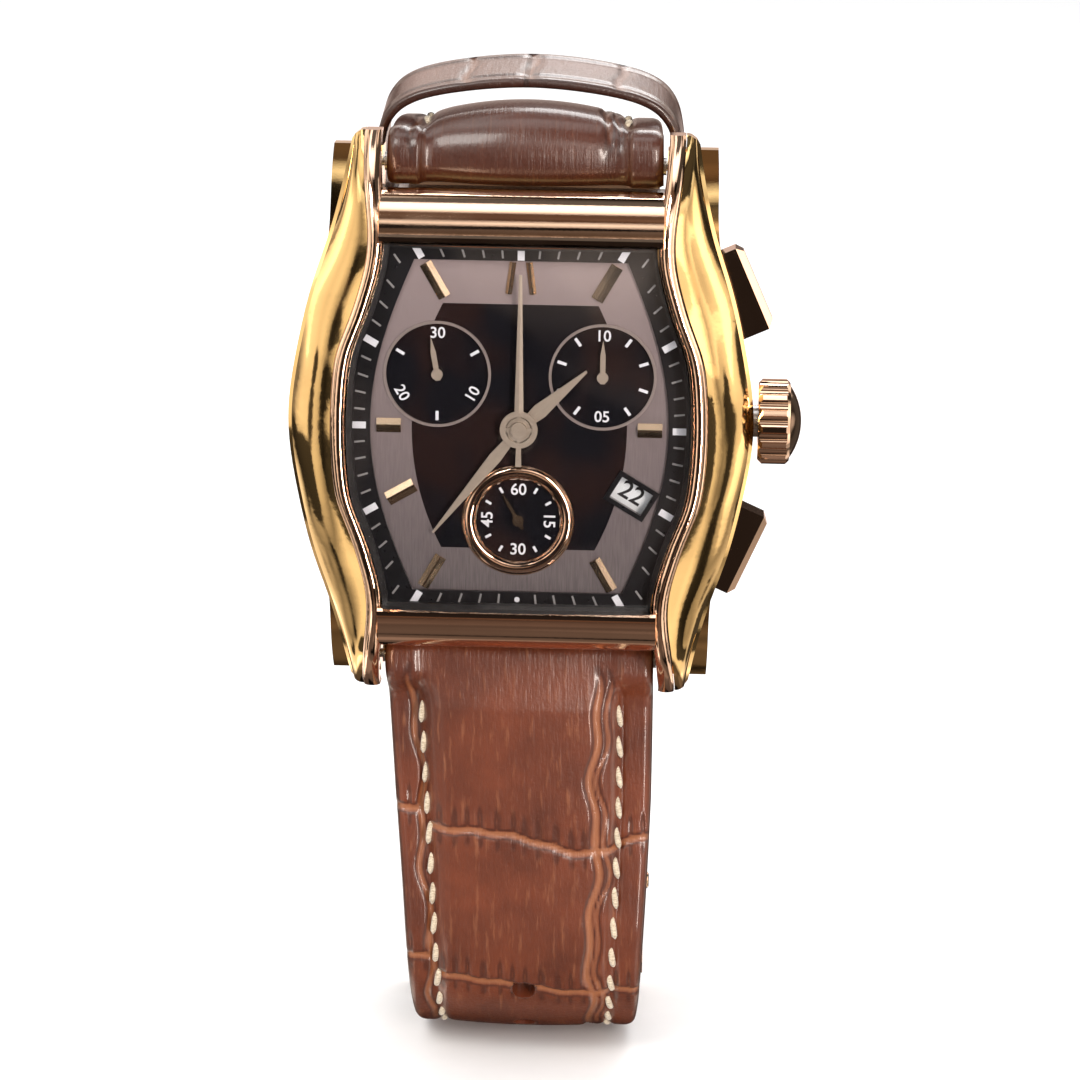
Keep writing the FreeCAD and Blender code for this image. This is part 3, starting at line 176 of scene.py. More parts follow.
# ---------------------------------------------------------------- node helpers
class Nodes:
    """Short ways to add and join nodes in one tree."""

    def __init__(self, tree):
        self.tree = tree

    def put(self, socket, value):
        if isinstance(value, bpy.types.NodeSocket):
            self.tree.links.new(value, socket)
        else:
            socket.default_value = value

    def add(self, kind, inputs=(), output=0, **settings):
        made = self.tree.nodes.new("ShaderNode" + kind)
        for key, value in settings.items():
            setattr(made, key, value)
        for key, value in dict(inputs).items():
            self.put(made.inputs[key], value)
        return made.outputs[output]

    def math(self, operation, *values, clamp=False):
        return self.add("Math", enumerate(values), operation=operation, use_clamp=clamp)

    def ramp(self, value, stops):
        """Colour ramp; a stop is (position, grey) or (position, (r, g, b))."""
        made = self.tree.nodes.new("ShaderNodeValToRGB")
        ramp = made.color_ramp
        for index, (position, colour) in enumerate(stops):
            colour = (colour,) * 3 if isinstance(colour, (int, float)) else colour
            element = ramp.elements[index] if index < 2 else ramp.elements.new(position)
            element.position = position
            element.color = (*colour, 1)
        self.put(made.inputs[0], value)
        return made.outputs[0]

    def mix(self, share, first, second):
        made = self.tree.nodes.new("ShaderNodeMix")
        made.data_type = "RGBA"
        self.put(made.inputs[0], share)
        for socket, colour in ((made.inputs[6], first), (made.inputs[7], second)):
            self.put(socket, (*colour, 1) if isinstance(colour, tuple) else colour)
        return made.outputs[2]

    def noise(self, vector, scale, detail=2.0, roughness=0.5):
        inputs = {"Vector": vector, "Scale": scale, "Detail": detail, "Roughness": roughness}
        return self.add("TexNoise", inputs)

    def bump(self, height, distance, normal=None):
        """Bump whose height of 0 to 1 stands for distance millimetres."""
        made = {"Height": height, "Distance": distance * MM, "Strength": 1.0}
        if normal is not None:
            made["Normal"] = normal
        return self.add("Bump", made)


class Finish(Nodes):
    """A Principled material with its fixed values set on the shader itself."""

    def __init__(self, name, colour=(0.5, 0.5, 0.5), **values):
        self.material = bpy.data.materials.new(name)
        self.material.use_nodes = True
        super().__init__(self.material.node_tree)
        self.shader = self.tree.nodes["Principled BSDF"]
        self.put(self.shader.inputs["Base Color"], (*colour, 1))
        for key, value in values.items():
            self.put(self.shader.inputs[key.replace("_", " ").title().replace("Ior", "IOR")], value)

    def place(self, scale=(1, 1, 1)):
        """Position on the watch in millimetres, stretched by scale."""
        point = self.add("TexCoord", output=3)
        return self.add("Mapping", {"Vector": point, "Scale": [value / MM for value in scale]})

    def attribute(self, name):
        return self.add("Attribute", output=2, attribute_name=name)

    def colour(self, value):
        self.put(self.shader.inputs["Base Color"], value)

    def roughness(self, value):
        self.put(self.shader.inputs["Roughness"], value)

    def normal(self, value):
        self.put(self.shader.inputs["Normal"], value)


def studio_world():
    """Pale all round to the eye; polished metal sees soft boxes with darker gaps between them."""
    world = bpy.data.worlds.new("studio")
    world.use_nodes = True
    bpy.context.scene.world = world
    nodes = Nodes(world.node_tree)
    world.node_tree.nodes.clear()
    direction = nodes.add("TexCoord", output=0)
    split = world.node_tree.nodes.new("ShaderNodeSeparateXYZ")
    nodes.put(split.inputs[0], direction)
    height = nodes.math("MULTIPLY_ADD", split.outputs[2], 0.5, 0.5)
    sky = nodes.ramp(height, SKY)
    sideways = nodes.math("ABSOLUTE", split.outputs[0])
    walls = nodes.mix(nodes.ramp(sideways, WALL_SHARE), (0.0, 0.0, 0.0), WALL_COLOUR)
    light = nodes.add("MixRGB", {0: 1.0, 1: sky, 2: walls}, blend_type="LIGHTEN")
    behind = nodes.ramp(split.outputs[1], BACK_WALL)
    light = nodes.add("MixRGB", {0: 1.0, 1: light, 2: behind}, blend_type="LIGHTEN")
    patches = nodes.ramp(nodes.noise(direction, 1.9, 1.0, 0.4), PATCHES)
    seen = nodes.add("MixRGB", {0: 1.0, 1: light, 2: patches}, blend_type="MULTIPLY")
    shiny = nodes.add("Background", {"Color": seen, "Strength": 1.0})
    pale = nodes.add("Background", {"Color": (0.95, 0.95, 0.96, 1), "Strength": 1.12})
    glossy = nodes.add("LightPath", output=3)
    both = nodes.add("MixShader", {0: glossy, 1: pale, 2: shiny})
    output = world.node_tree.nodes.new("ShaderNodeOutputWorld")
    world.node_tree.links.new(both, output.inputs[0])


def make_stage():
    """Pale floor under the lowest point, out of the metal's reflections."""
    reach, level = 4.0, cad_low.z - 0.0002
    mesh = bpy.data.meshes.new("floor")
    corners = [(-reach, -reach, level), (reach, -reach, level), (reach, reach, level), (-reach, reach, level)]
    mesh.from_pydata(corners, [], [(0, 1, 2, 3)])
    floor = bpy.data.objects.new("floor", mesh)
    bpy.context.scene.collection.objects.link(floor)
    finish = Finish("floor_paper", (0.86, 0.86, 0.86), roughness=0.9, specular_ior_level=0.1)
    grain = finish.noise(finish.place(), 0.4, 3.0)
    finish.colour(finish.ramp(grain, [(0.0, (0.85, 0.85, 0.85)), (1.0, (0.89, 0.89, 0.89))]))
    mesh.materials.append(finish.material)
    floor.visible_glossy = False


# ---------------------------------------------------------------- finishes
def polished_metal(name, colour, dull=(0.04, 0.11), wave=0.10, scratch=0.0015):
    """Polished metal: slow waves in the polish, hairlines and duller handled patches."""
    finish = Finish(name, colour, metallic=1.0)
    place = finish.place()
    handled = finish.noise(place, 0.22, 2.0, 0.5)
    finish.roughness(finish.ramp(handled, [(0.35, dull[0]), (0.72, dull[1])]))
    tint = tuple(value * 0.93 for value in colour)
    finish.colour(finish.mix(finish.ramp(handled, [(0.45, 0.0), (0.8, 1.0)]), colour, tint))
    hairs = finish.noise(finish.place((1.0, 6.0, 2.0)), 2.5, 2.0)
    normal = finish.bump(finish.noise(finish.place((0.5, 0.6, 1.2)), 0.12, 0.0), wave)
    finish.normal(finish.bump(hairs, scratch, normal))
    return finish.material


def brushed_metal(name, colour, roughness=0.3):
    finish = Finish(name, colour, metallic=1.0)
    grain = finish.noise(finish.place((0.3, 12.0, 12.0)), 1.0, 3.0)
    finish.roughness(finish.ramp(grain, [(0.2, roughness * 0.7), (0.9, roughness * 1.3)]))
    finish.normal(finish.bump(grain, 0.01))
    return finish.material


def plain_finish(name, colour, roughness=0.5, depth=0.01, grain=2.0, **values):
    """Moulded or painted surface with a fine grain and slightly uneven tone."""
    finish = Finish(name, colour, **values)
    texture = finish.noise(finish.place(), grain, 4.0)
    darker = tuple(value * 0.8 for value in colour)
    finish.colour(finish.mix(texture, colour, darker))
    finish.roughness(finish.ramp(texture, [(0.2, roughness * 0.85), (0.8, min(1.0, roughness * 1.15))]))
    finish.normal(finish.bump(texture, depth))
    return finish.material


def crystal_finish():
    """Clear crystal: it reflects at glancing angles and lets the dial through."""
    material = bpy.data.materials.new("crystal_clear")
    material.use_nodes = True
    nodes = Nodes(material.node_tree)
    material.node_tree.nodes.clear()
    clear = nodes.add("BsdfTransparent", {"Color": (0.97, 0.97, 0.98, 1)})
    gloss = nodes.add("BsdfGlossy", {"Color": (1, 1, 1, 1), "Roughness": 0.02})
    share = nodes.add("Fresnel", {"IOR": 1.4})
    both = nodes.add("MixShader", {0: share, 1: clear, 2: gloss})
    output = material.node_tree.nodes.new("ShaderNodeOutputMaterial")
    material.node_tree.links.new(both, output.inputs[0])
    return material


def dial_finish():
    """Taupe sunray ground painted lighter toward 12 and darker toward 6 as the light falls, a glossy black
    panel with slanted corners and three black counters.
    """
    finish = Finish("dial_lacquer", coat_weight=0.5, coat_roughness=0.08)
    point = finish.place()
    split = finish.tree.nodes.new("ShaderNodeSeparateXYZ")
    finish.put(split.inputs[0], point)
    across = finish.math("ABSOLUTE", split.outputs[0])
    along = finish.math("ABSOLUTE", split.outputs[2])
    black = finish.math("LESS_THAN", across, panel_edge(finish, along))
    for centre, radius in ((LEFT_COUNTER, COUNTER_RADIUS), (RIGHT_COUNTER, COUNTER_RADIUS),
                           (SECONDS_COUNTER, SECONDS_RADIUS)):
        away = finish.add("VectorMath", {0: point, 1: centre}, operation="SUBTRACT")
        flat = finish.add("VectorMath", {0: away, 1: (1, 0, 1)}, operation="MULTIPLY")
        distance = finish.add("VectorMath", {0: flat}, output=1, operation="LENGTH")
        black = finish.math("MAXIMUM", black, finish.math("LESS_THAN", distance, radius + 0.02))
    # Painted light: the ground runs from dark at 6 to light at 12, as if lit from above.
    rise = finish.math("MULTIPLY_ADD", split.outputs[2], 0.5 / 14.0, 0.5)
    taupe = finish.ramp(rise, [(0.0, (0.11, 0.095, 0.095)), (0.5, (0.22, 0.175, 0.17)),
                               (1.0, (0.33, 0.26, 0.25))])
    grain = finish.noise(finish.place((6.0, 6.0, 0.4)), 1.5, 3.0)
    taupe = finish.mix(finish.ramp(grain, [(0.3, 0.0), (0.8, 0.35)]), taupe, (0.34, 0.28, 0.27))
    warm = finish.noise(finish.place((0.22, 1, 0.16)), 1.0, 1.0)
    lacquer = finish.ramp(warm, [(0.46, (0.006, 0.006, 0.009)), (0.64, (0.020, 0.009, 0.008))])
    finish.colour(finish.mix(black, taupe, lacquer))
    finish.roughness(finish.ramp(black, [(0.0, 0.34), (1.0, 0.22)]))
    finish.put(finish.shader.inputs["Metallic"], finish.ramp(black, [(0.0, 0.15), (1.0, 0.0)]))
    finish.normal(finish.bump(grain, 0.004))
    return finish.material


def panel_edge(finish, along):
    """Half-width of the black panel at a height: bowed sides, then slanted corners, then nothing."""
    share = finish.math("DIVIDE", along, PANEL_CORNER)
    bowed = finish.math("POWER", share, 2.1)
    side = finish.math("MULTIPLY_ADD", bowed, PANEL_CORNER_HALF - PANEL_WIDEST, PANEL_WIDEST)
    slope = (PANEL_TOP_HALF - PANEL_CORNER_HALF) / (PANEL_HALF_HEIGHT - PANEL_CORNER)
    past = finish.math("SUBTRACT", along, PANEL_CORNER)
    corner = finish.math("MULTIPLY_ADD", past, slope, PANEL_CORNER_HALF)
    edge = finish.math("MINIMUM", side, corner)
    inside = finish.math("LESS_THAN", along, PANEL_HALF_HEIGHT)
    return finish.math("MULTIPLY", edge, inside)


def leather_finish(name, lit, deep, crease):
    """Glazed crocodile leather: tone varies over each scale, creases rub lighter with a rim of painted shade
    beside them, edges are burnished, and painted shade darkens the upper half and the keepers.
    """
    finish = Finish(name, lit, coat_weight=0.55, coat_roughness=0.16, specular_ior_level=0.5)
    length, width = finish.attribute("lengthwise"), finish.attribute("crosswise")
    flat = finish.add("CombineXYZ", {0: width, 1: length})
    tone = finish.noise(flat, 0.11, 4.0, 0.6)
    colour = finish.mix(finish.ramp(tone, [(0.3, 0.0), (0.75, 1.0)]), lit, deep)
    streaks = finish.add("CombineXYZ", {0: finish.math("MULTIPLY", width, 2.2),
                                        1: finish.math("MULTIPLY", length, 0.28)})
    lines = finish.noise(streaks, 1.0, 3.0, 0.6)
    colour = finish.mix(finish.ramp(lines, [(0.56, 0.0), (0.80, 0.55)]), colour, crease)
    creased = finish.attribute("crease")
    colour = finish.mix(finish.ramp(creased, [(0.25, 0.0), (0.8, 0.85)]), colour, crease)
    # Painted shade: a dark rim on the slopes just beside each lighter crease line.
    crease_shade_rim = finish.ramp(creased, [(0.02, 0.0), (0.12, 0.75), (0.24, 0.75), (0.36, 0.0)])
    colour = finish.mix(crease_shade_rim, colour, deep)
    # Darker where this layer says so: real burnish on the edges, and painted shade over the upper half and
    # the keepers.
    burnish_and_shade_share = finish.attribute("shade")
    colour = finish.mix(burnish_and_shade_share, colour, tuple(value * 0.22 for value in deep))
    finish.colour(colour)
    pores = finish.noise(flat, 3.2, 3.0, 0.6)
    finish.roughness(finish.ramp(pores, [(0.2, 0.30), (0.8, 0.48)]))
    wrinkles = finish.bump(lines, 0.10)
    finish.normal(finish.bump(pores, 0.035, wrinkles))
    return finish.material


def thread_finish():
    finish = Finish("cream_thread", (0.52, 0.44, 0.31), roughness=0.75, sheen_weight=0.3)
    twist = finish.noise(finish.place((1, 1, 4)), 3.0, 3.0)
    finish.colour(finish.ramp(twist, [(0.3, (0.30, 0.23, 0.15)), (0.6, (0.58, 0.49, 0.36))]))
    finish.normal(finish.bump(twist, 0.06))
    return finish.material


def make_finishes():
    """The record's slots and the finish that each one takes."""
    return {
        "gold": polished_metal("gold_polish", YELLOW_GOLD, wave=0.75),
        "rose_gold": polished_metal("rose_gold_polish", ROSE_GOLD, wave=0.06),
        "steel": brushed_metal("steel_brushed", (0.55, 0.55, 0.56)),
        "crystal": crystal_finish(),
        "gasket": plain_finish("black_rubber", (0.015, 0.015, 0.016), 0.6),
        "flange": plain_finish("flange_black", (0.010, 0.010, 0.012), 0.3, 0.003, coat_weight=0.4),
        "dial": dial_finish(),
        "dark_gold": plain_finish("counter_ring_metal", (0.50, 0.42, 0.38), 0.35, 0.0005, metallic=0.6),
        "markers": polished_metal("marker_gold", (0.85, 0.66, 0.46), (0.16, 0.26), 0.02, 0.0004),
        "hands": plain_finish("champagne_hands", (0.56, 0.47, 0.37), 0.38, 0.0005, metallic=0.5),
        "holder_plastic": plain_finish("holder_plastic", (0.55, 0.53, 0.48), 0.5),
        "brass": brushed_metal("brass", (0.72, 0.50, 0.22)),
        "board": plain_finish("circuit_green", (0.02, 0.12, 0.06), 0.4, 0.02, 4.0),
        "copper": brushed_metal("copper_wire", (0.75, 0.32, 0.16), 0.35),
        "date_white": plain_finish("date_white", (0.88, 0.91, 0.90), 0.5, 0.002),
        "strap_leather": leather_finish("cognac_leather", (0.150, 0.032, 0.010), (0.055, 0.012, 0.005),
                                        (0.29, 0.105, 0.042)),
        "strap_lining": plain_finish("lining_leather", (0.32, 0.17, 0.085), 0.65, 0.05, 3.0),
    }


def dress_cad(finishes):
    """Give each CAD node the finish of its record slot."""
    slots = {part["node"]: part["material_slot"] for part in frame["record"]["subparts"]}
    for name, node in frame["nodes"].items():
        for slot in node.material_slots:
            slot.material = finishes[slots[name]]


# ---------------------------------------------------------------- mesh helpers
def to_row(x, height, z):
    """From the dial's own axes (height toward the wearer) to the part's, in metres."""
    return x * MM, -height * MM, z * MM


def make_piece(name, points, faces, material, body="watch", smooth=True):
    """A mesh piece in metres that rides on a body."""
    mesh = bpy.data.meshes.new(name)
    mesh.from_pydata([tuple(point) for point in points], [], faces)
    mesh.update()
    mesh.polygons.foreach_set("use_smooth", [smooth] * len(mesh.polygons))
    mesh.materials.append(material)
    piece = bpy.data.objects.new(name, mesh)
    bpy.context.scene.collection.objects.link(piece)
    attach(piece, body)
    return piece


def add_layers(piece, **layers):
    """Values per point that the leather's finish reads."""
    for name, values in layers.items():
        layer = piece.data.attributes.new(name, "FLOAT", "POINT")
        layer.data.foreach_set("value", np.array(values, np.float32))


class Print:
    """Flat printed marks gathered into one piece."""

    def __init__(self):
        self.points, self.faces = [], []

    def plate(self, outline, level, height=0.02):
        """Prism on a (x, z) outline, given anticlockwise as the wearer sees it."""
        base, count = len(self.points), len(outline)
        for depth in (level, level + height):
            self.points += [to_row(x, depth, z) for x, z in outline]
        self.faces.append([base + count + index for index in range(count)])
        self.faces.append([base + count - 1 - index for index in range(count)])
        for index in range(count):
            after = (index + 1) % count
            self.faces.append([base + index, base + after, base + count + after, base + count + index])

    def bar(self, centre, angle, length, width, level):
        """Rectangle whose length lies along a clock angle in degrees."""
        sine, cosine = math.sin(math.radians(angle)), math.cos(math.radians(angle))
        corners = [(-width / 2, -length / 2), (width / 2, -length / 2),
                   (width / 2, length / 2), (-width / 2, length / 2)]
        outline = [(centre[0] + a * cosine + b * sine, centre[1] - a * sine + b * cosine) for a, b in corners]
        self.plate(outline, level)

    def text(self, words, size, centre, turn, level):
        """Plain numerals, turned clockwise by degrees as the wearer sees them."""
        curve = bpy.data.curves.new("numerals", "FONT")
        curve.body = words
        curve.size = size * MM
        curve.align_x, curve.align_y = "CENTER", "CENTER"
        curve.extrude = 0.01 * MM
        curve.offset = 0.012 * size * MM
        curve.resolution_u = 4
        carrier = bpy.data.objects.new("numerals", curve)
        mesh = bpy.data.meshes.new_from_object(carrier)
        stand = Matrix.Rotation(math.radians(turn), 4, "Y") @ Matrix.Rotation(math.radians(90), 4, "X")
        mesh.transform(Matrix.Translation(to_row(centre[0], level + 0.01, centre[1])) @ stand)
        base = len(self.points)
        self.points += [tuple(vertex.co) for vertex in mesh.vertices]
        self.faces += [[base + index for index in face.vertices] for face in mesh.polygons]
        bpy.data.objects.remove(carrier)

    def finish(self, name, material, slot, body="watch"):
        return make_piece(name, self.points, self.faces, material, body, smooth=False)


def on_circle(centre, radius, angle):
    turn = math.radians(angle)
    return centre.x + radius * math.sin(turn), centre.z + radius * math.cos(turn)


# ---------------------------------------------------------------- dial print
def track_point(angle):
    """Where a ray at a clock angle meets the middle of the minute track."""
    sine, cosine = abs(math.sin(math.radians(angle))), abs(math.cos(math.radians(angle)))
    heights, halves = zip(*TRACK)
    reach = 12.0
    for _ in range(12):
        reach = float(np.interp(reach * cosine, heights, halves)) / max(sine, 1e-6)
        reach = min(reach, TRACK_END / max(cosine, 1e-6))
    return reach * math.sin(math.radians(angle)), reach * math.cos(math.radians(angle))


def minute_track(white, grey):
    blocks, ticks = Print(), Print()
    for minute in range(60):
        angle = 6 * minute
        place = track_point(angle)
        if minute == 30:
            outline = [on_circle(Vector((place[0], 0, place[1])), 0.22, -30 * step) for step in range(12)]
            blocks.plate(outline, FLANGE_LEVEL)
        elif minute % 5 == 0:
            blocks.bar(place, angle, 1.15, 0.55, FLANGE_LEVEL)
        else:
            ticks.bar(place, angle, 0.85, 0.16, FLANGE_LEVEL)
    blocks.finish("five_minute_blocks", white, "markers")
    ticks.finish("minute_ticks", grey, "markers")


def counter_print(white):
    marks = Print()
    level = COUNTER_FLOOR
    for angle in (60, 180, 300):
        marks.bar(on_circle(LEFT_COUNTER, 3.4, angle), angle, 0.75, 0.24, level)
    for words, angle, turn in (("30", 0, 0), ("10", 120, -60), ("20", 240, 60)):
        marks.text(words, 1.25, on_circle(LEFT_COUNTER, 3.25, angle), turn, level)
    for step in range(1, 10):
        if step != 5:
            marks.bar(on_circle(RIGHT_COUNTER, 3.4, 36 * step), 36 * step, 0.75, 0.24, level)
    for words, angle in (("10", 0), ("05", 180)):
        marks.text(words, 1.25, on_circle(RIGHT_COUNTER, 3.25, angle), 0, level)
    for step in range(12):
        if step % 3:
            marks.bar(on_circle(SECONDS_COUNTER, 2.75, 30 * step), 30 * step, 0.5, 0.2, level)
    for words, angle, turn in (("60", 0, 0), ("15", 90, 90), ("30", 180, 0), ("45", 270, -90)):
        marks.text(words, 1.3, on_circle(SECONDS_COUNTER, 2.45, angle), turn, level)
    marks.finish("counter_print", white, "markers")


def date_numerals(ink):
    """All the days on the ring under the dial, with the 22nd at the window."""
    marks = Print()
    window = math.degrees(math.atan2(DATE_WINDOW.x, DATE_WINDOW.z))
    reach = math.hypot(DATE_WINDOW.x, DATE_WINDOW.z)
    centre = Vector((0, 0, 0))
    for day in range(1, 32):
        angle = window + (day - 22) * 360 / 31
        marks.text(str(day), 2.05, on_circle(centre, reach, angle), angle - 90, DISC_LEVEL)
    marks.finish("date_numerals", ink, "date_white", "date_disc")


# ---------------------------------------------------------------- leather
def read(table, at):
    places, values = zip(*table)
    return np.interp(at, places, values)


class Route:
    """Line in the Y-Z plane of straight runs and tangent arcs, read by distance along it."""

    def __init__(self, y, z, heading, legs):
        self.legs, self.length = [], 0.0
        end = (y, z, heading)
        for run, curvature in legs:
            self.legs.append((self.length, end, curvature))
            self.length += run
            end = self.at(self.length)

    def at(self, s):
        passed = [leg for leg in self.legs if leg[0] <= s + 1e-9 or leg[0] == 0]
        start, (y, z, heading), curvature = passed[-1]
        run = s - start
        if curvature == 0.0:
            return y + run * math.cos(heading), z + run * math.sin(heading), heading
        turned = heading + run * curvature
        y += (math.sin(turned) - math.sin(heading)) / curvature
        z -= (math.cos(turned) - math.cos(heading)) / curvature
        return y, z, turned


def arc(radius, turn):
    return radius * math.radians(abs(turn)), math.copysign(1 / radius, turn)


def lower_route():
    legs = [(-BAR_Z - BEND_Z, 0.0), arc(BEND_RADIUS, 180), (LOWER_TIP_Z - BEND_Z, 0.0)]
    return Route(BAR_Y, -BAR_Z, -math.pi / 2, legs)


def upper_route():
    bends = [arc(NECK_RADIUS, -NECK_TURN), arc(ARCH_RADIUS, NECK_TURN - 180)]
    start = Route(BAR_Y, BAR_Z, math.pi / 2, bends)
    straight = start.at(start.length)[1] - BUCKLE_Z
    return Route(BAR_Y, BAR_Z, math.pi / 2, bends + [(straight, 0.0)])


def valley(distance, width):
    return np.exp(-(distance / width) ** 2)


class Half:
    """One half of the strap: its route, its section and its crocodile creases."""

    ACROSS, BELOW = 104, 22

    def __init__(self, name, route, width, thickness, side, creases, tip, drift, dusk):
        self.name, self.route, self.width, self.thickness = name, route, width, thickness
        self.side, self.creases, self.tip, self.drift, self.dusk = side, creases, tip, drift, dusk

    def half_width(self, s):
        """Half-width, rounded off over the last tip millimetres."""
        half = read(self.width, s) / 2
        if not self.tip:
            return half
        past = np.clip((s - self.route.length + self.tip) / self.tip, 0, 1)
        return half * np.clip(1 - past ** 2.4, 0, 1) ** 0.62

    def half_thickness(self, s):
        """Half-thickness, closing in a half-round over each bar."""
        half = read(self.thickness, s) / 2
        ends = [-s] if self.tip else [-s, s - self.route.length]
        for past in ends:
            half = np.where(past > 0, np.sqrt(np.maximum(LOOP_RADIUS ** 2 - past ** 2, 0)), half)
        return half

    def crease(self, s, x):
        """(crease depth 0 to 1, comb wrinkles beside the creases 0 to 1) at a place on the face."""
        half = read(self.width, s) / 2
        share = x / half
        cut, comb = np.zeros_like(s * x), np.zeros_like(s * x)
        for index, (place, sag, lean) in enumerate(self.creases):
            line = place + sag * valley(share - 0.5, 0.45) + lean * share + 0.10 * np.sin(1.9 * x + 2 * index)
            line = line - 1.3 * (share < -SEAM)
            away = s - line
            cut = np.maximum(cut, valley(away, 0.26))
            ridges = np.clip(np.sin(5.2 * x + 0.8 * np.sin(1.3 * x + index)), 0, 1) ** 2
            comb = np.maximum(comb, ridges * (valley(away + 1.1, 0.9) + 0.6 * valley(away - 0.9, 0.5)))
        wobble = 0.03 * np.sin(0.45 * s) + 0.02 * np.sin(1.1 * s)
        near_bar = np.clip(s / 3.0, 0, 1)
        cut = np.maximum(cut, near_bar * 0.9 * valley((share - 0.57 - wobble) * half, 0.30))
        cut = np.maximum(cut, near_bar * 0.6 * valley((share - 0.64 - 1.3 * wobble) * half, 0.22))
        cut = np.maximum(cut, near_bar * 0.75 * valley((share + 0.80 + wobble) * half, 0.28))
        return cut, comb

    def top(self, s, x):
        """Height of the outer face above the route, with its padding, seam channel and creases."""
        half_width, half = self.half_width(s), self.half_thickness(s)
        share = np.abs(x) / np.maximum(half_width, 0.1)
        fold = np.clip((s - 0.8) / 2.6, 0, 1)
        fold = fold * fold * (3 - 2 * fold)
        margin = np.minimum(half, half + fold * (MARGIN_THICKNESS - 2 * half))
        rise = np.clip((SEAM + 0.02 - share) / 0.20, 0, 1)
        rise = np.sqrt(np.clip(1 - (1 - rise) ** 2, 0, 1))
        crown = 1 - (0.22 if self.tip else 0.6) * (share / SEAM) ** 2
        height = margin + (half * crown - margin) * rise
        height = height - CHANNEL_DEPTH * fold * valley((share - SEAM) * half_width, 0.42)
        cut, comb = self.crease(s, x)
        height = height - CREASE_DEPTH * cut - COMB_DEPTH * comb
        edge = np.clip((1 - share) * half_width, 0, EDGE_ROUND)
        height = height - (EDGE_ROUND - np.sqrt(EDGE_ROUND ** 2 - (EDGE_ROUND - edge) ** 2)) * 0.7
        return np.maximum(height, 0.35 - half)

    def lean(self, s):
        """Sideways drift of the half as it hangs, gone again before the buckle."""
        return self.drift * math.sin(math.pi * min(max(s / 56, 0), 1))

    def place(self, s, x, offset):
        """Point in the part's frame, offset outward from the route."""
        y, z, heading = self.route.at(s)
        out = -self.side * offset
        return Vector((x + self.lean(s), y - math.sin(heading) * out, z + math.cos(heading) * out)) * MM

    def rows(self):
        """Distances along the strap, closer together at its ends."""
        first = -LOOP_RADIUS + 0.002
        start = first + (0.4 - first) * (1 - np.cos(np.linspace(0, np.pi / 2, 9)))
        last = self.route.length - (0.01 if self.tip else -LOOP_RADIUS + 0.002)
        fine = last - (self.tip or 2.0)
        body = np.linspace(0.4, fine, int((fine - 0.4) / 0.27))
        end = fine + (last - fine) * np.sin(np.linspace(0, np.pi / 2, 34 if self.tip else 12))
        return np.concatenate([start, body[1:], end[1:]])

    def build(self, leather, lining):
        shares = np.sin(np.linspace(-1, 1, self.ACROSS) * 1.35) / math.sin(1.35)
        under = np.linspace(1, -1, self.BELOW)
        rows = self.rows()
        points, length, width, crease, shade = [], [], [], [], []
        for s in rows:
            half_width, half = float(self.half_width(s)), float(self.half_thickness(s))
            upper = shares * half_width
            heights = self.top(np.full_like(upper, s), upper)
            cut, comb = self.crease(np.full_like(upper, s), upper)
            lower = under * half_width * 0.985
            base = -half + 0.25 * np.abs(under) ** 14
            points += [self.place(s, x, h) for x, h in zip(upper, heights)]
            points += [self.place(s, x, h) for x, h in zip(lower, np.minimum(base, 0))]
            edge = np.clip((np.abs(shares) - 0.965) / 0.035, 0, 1)
            length += [s] * (len(upper) + len(lower))
            width += [*upper, *lower]
            crease += [*(cut + 0.35 * comb), *(0 * lower)]
            # Darker at the burnished edges, and painted shade over the whole face where the half carries it.
            shade += [*np.maximum(0.75 * edge, self.dusk), *(0 * lower)]
        ring = self.ACROSS + self.BELOW
        faces, slots = [], []
        for row in range(len(rows) - 1):
            for column in range(ring):
                after = (column + 1) % ring
                near, far = row * ring, (row + 1) * ring
                quad = [near + column, near + after, far + after, far + column]
                faces.append(quad if self.side > 0 else quad[::-1])
                slots.append(1 if self.ACROSS <= column < ring - 1 else 0)
        first, last = list(range(ring)), [(len(rows) - 1) * ring + column for column in range(ring)]
        faces += [first[::-1], last] if self.side > 0 else [first, last[::-1]]
        slots += [0, 0]
        piece = make_piece(self.name + "_leather", points, faces, leather)
        piece.data.materials.append(lining)
        piece.data.polygons.foreach_set("material_index", slots)
        add_layers(piece, lengthwise=length, crosswise=width, crease=crease, shade=shade)
        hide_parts(self.name, self.name + "_lining")
        return piece

    def pierce(self, piece, places, name):
        """Cut round holes of the strap's radius through the piece at distances along it."""
        cutter_points, cutter_faces = [], []
        for s in places:
            base = len(cutter_points)
            sides = 20
            for depth in (-4.0, 4.0):
                for step in range(sides):
                    angle = 2 * math.pi * step / sides
                    along, across = HOLE_RADIUS * math.cos(angle), HOLE_RADIUS * math.sin(angle)
                    cutter_points.append(self.flat_place(s, along, across, depth))
            cutter_faces.append([base + step for step in range(sides)][::-1])
            cutter_faces.append([base + sides + step for step in range(sides)])
            for step in range(sides):
                after = (step + 1) % sides
                cutter_faces.append([base + step, base + after, base + sides + after, base + sides + step])
        cut_away(piece, cutter_points, cutter_faces, name)

    def flat_place(self, s, along, across, depth):
        """Point on the strap's tangent plane at s."""
        y, z, heading = self.route.at(s)
        out = -self.side * depth
        return Vector((across + self.lean(s), y + math.cos(heading) * along - math.sin(heading) * out,
                       z + math.sin(heading) * along + math.cos(heading) * out)) * MM


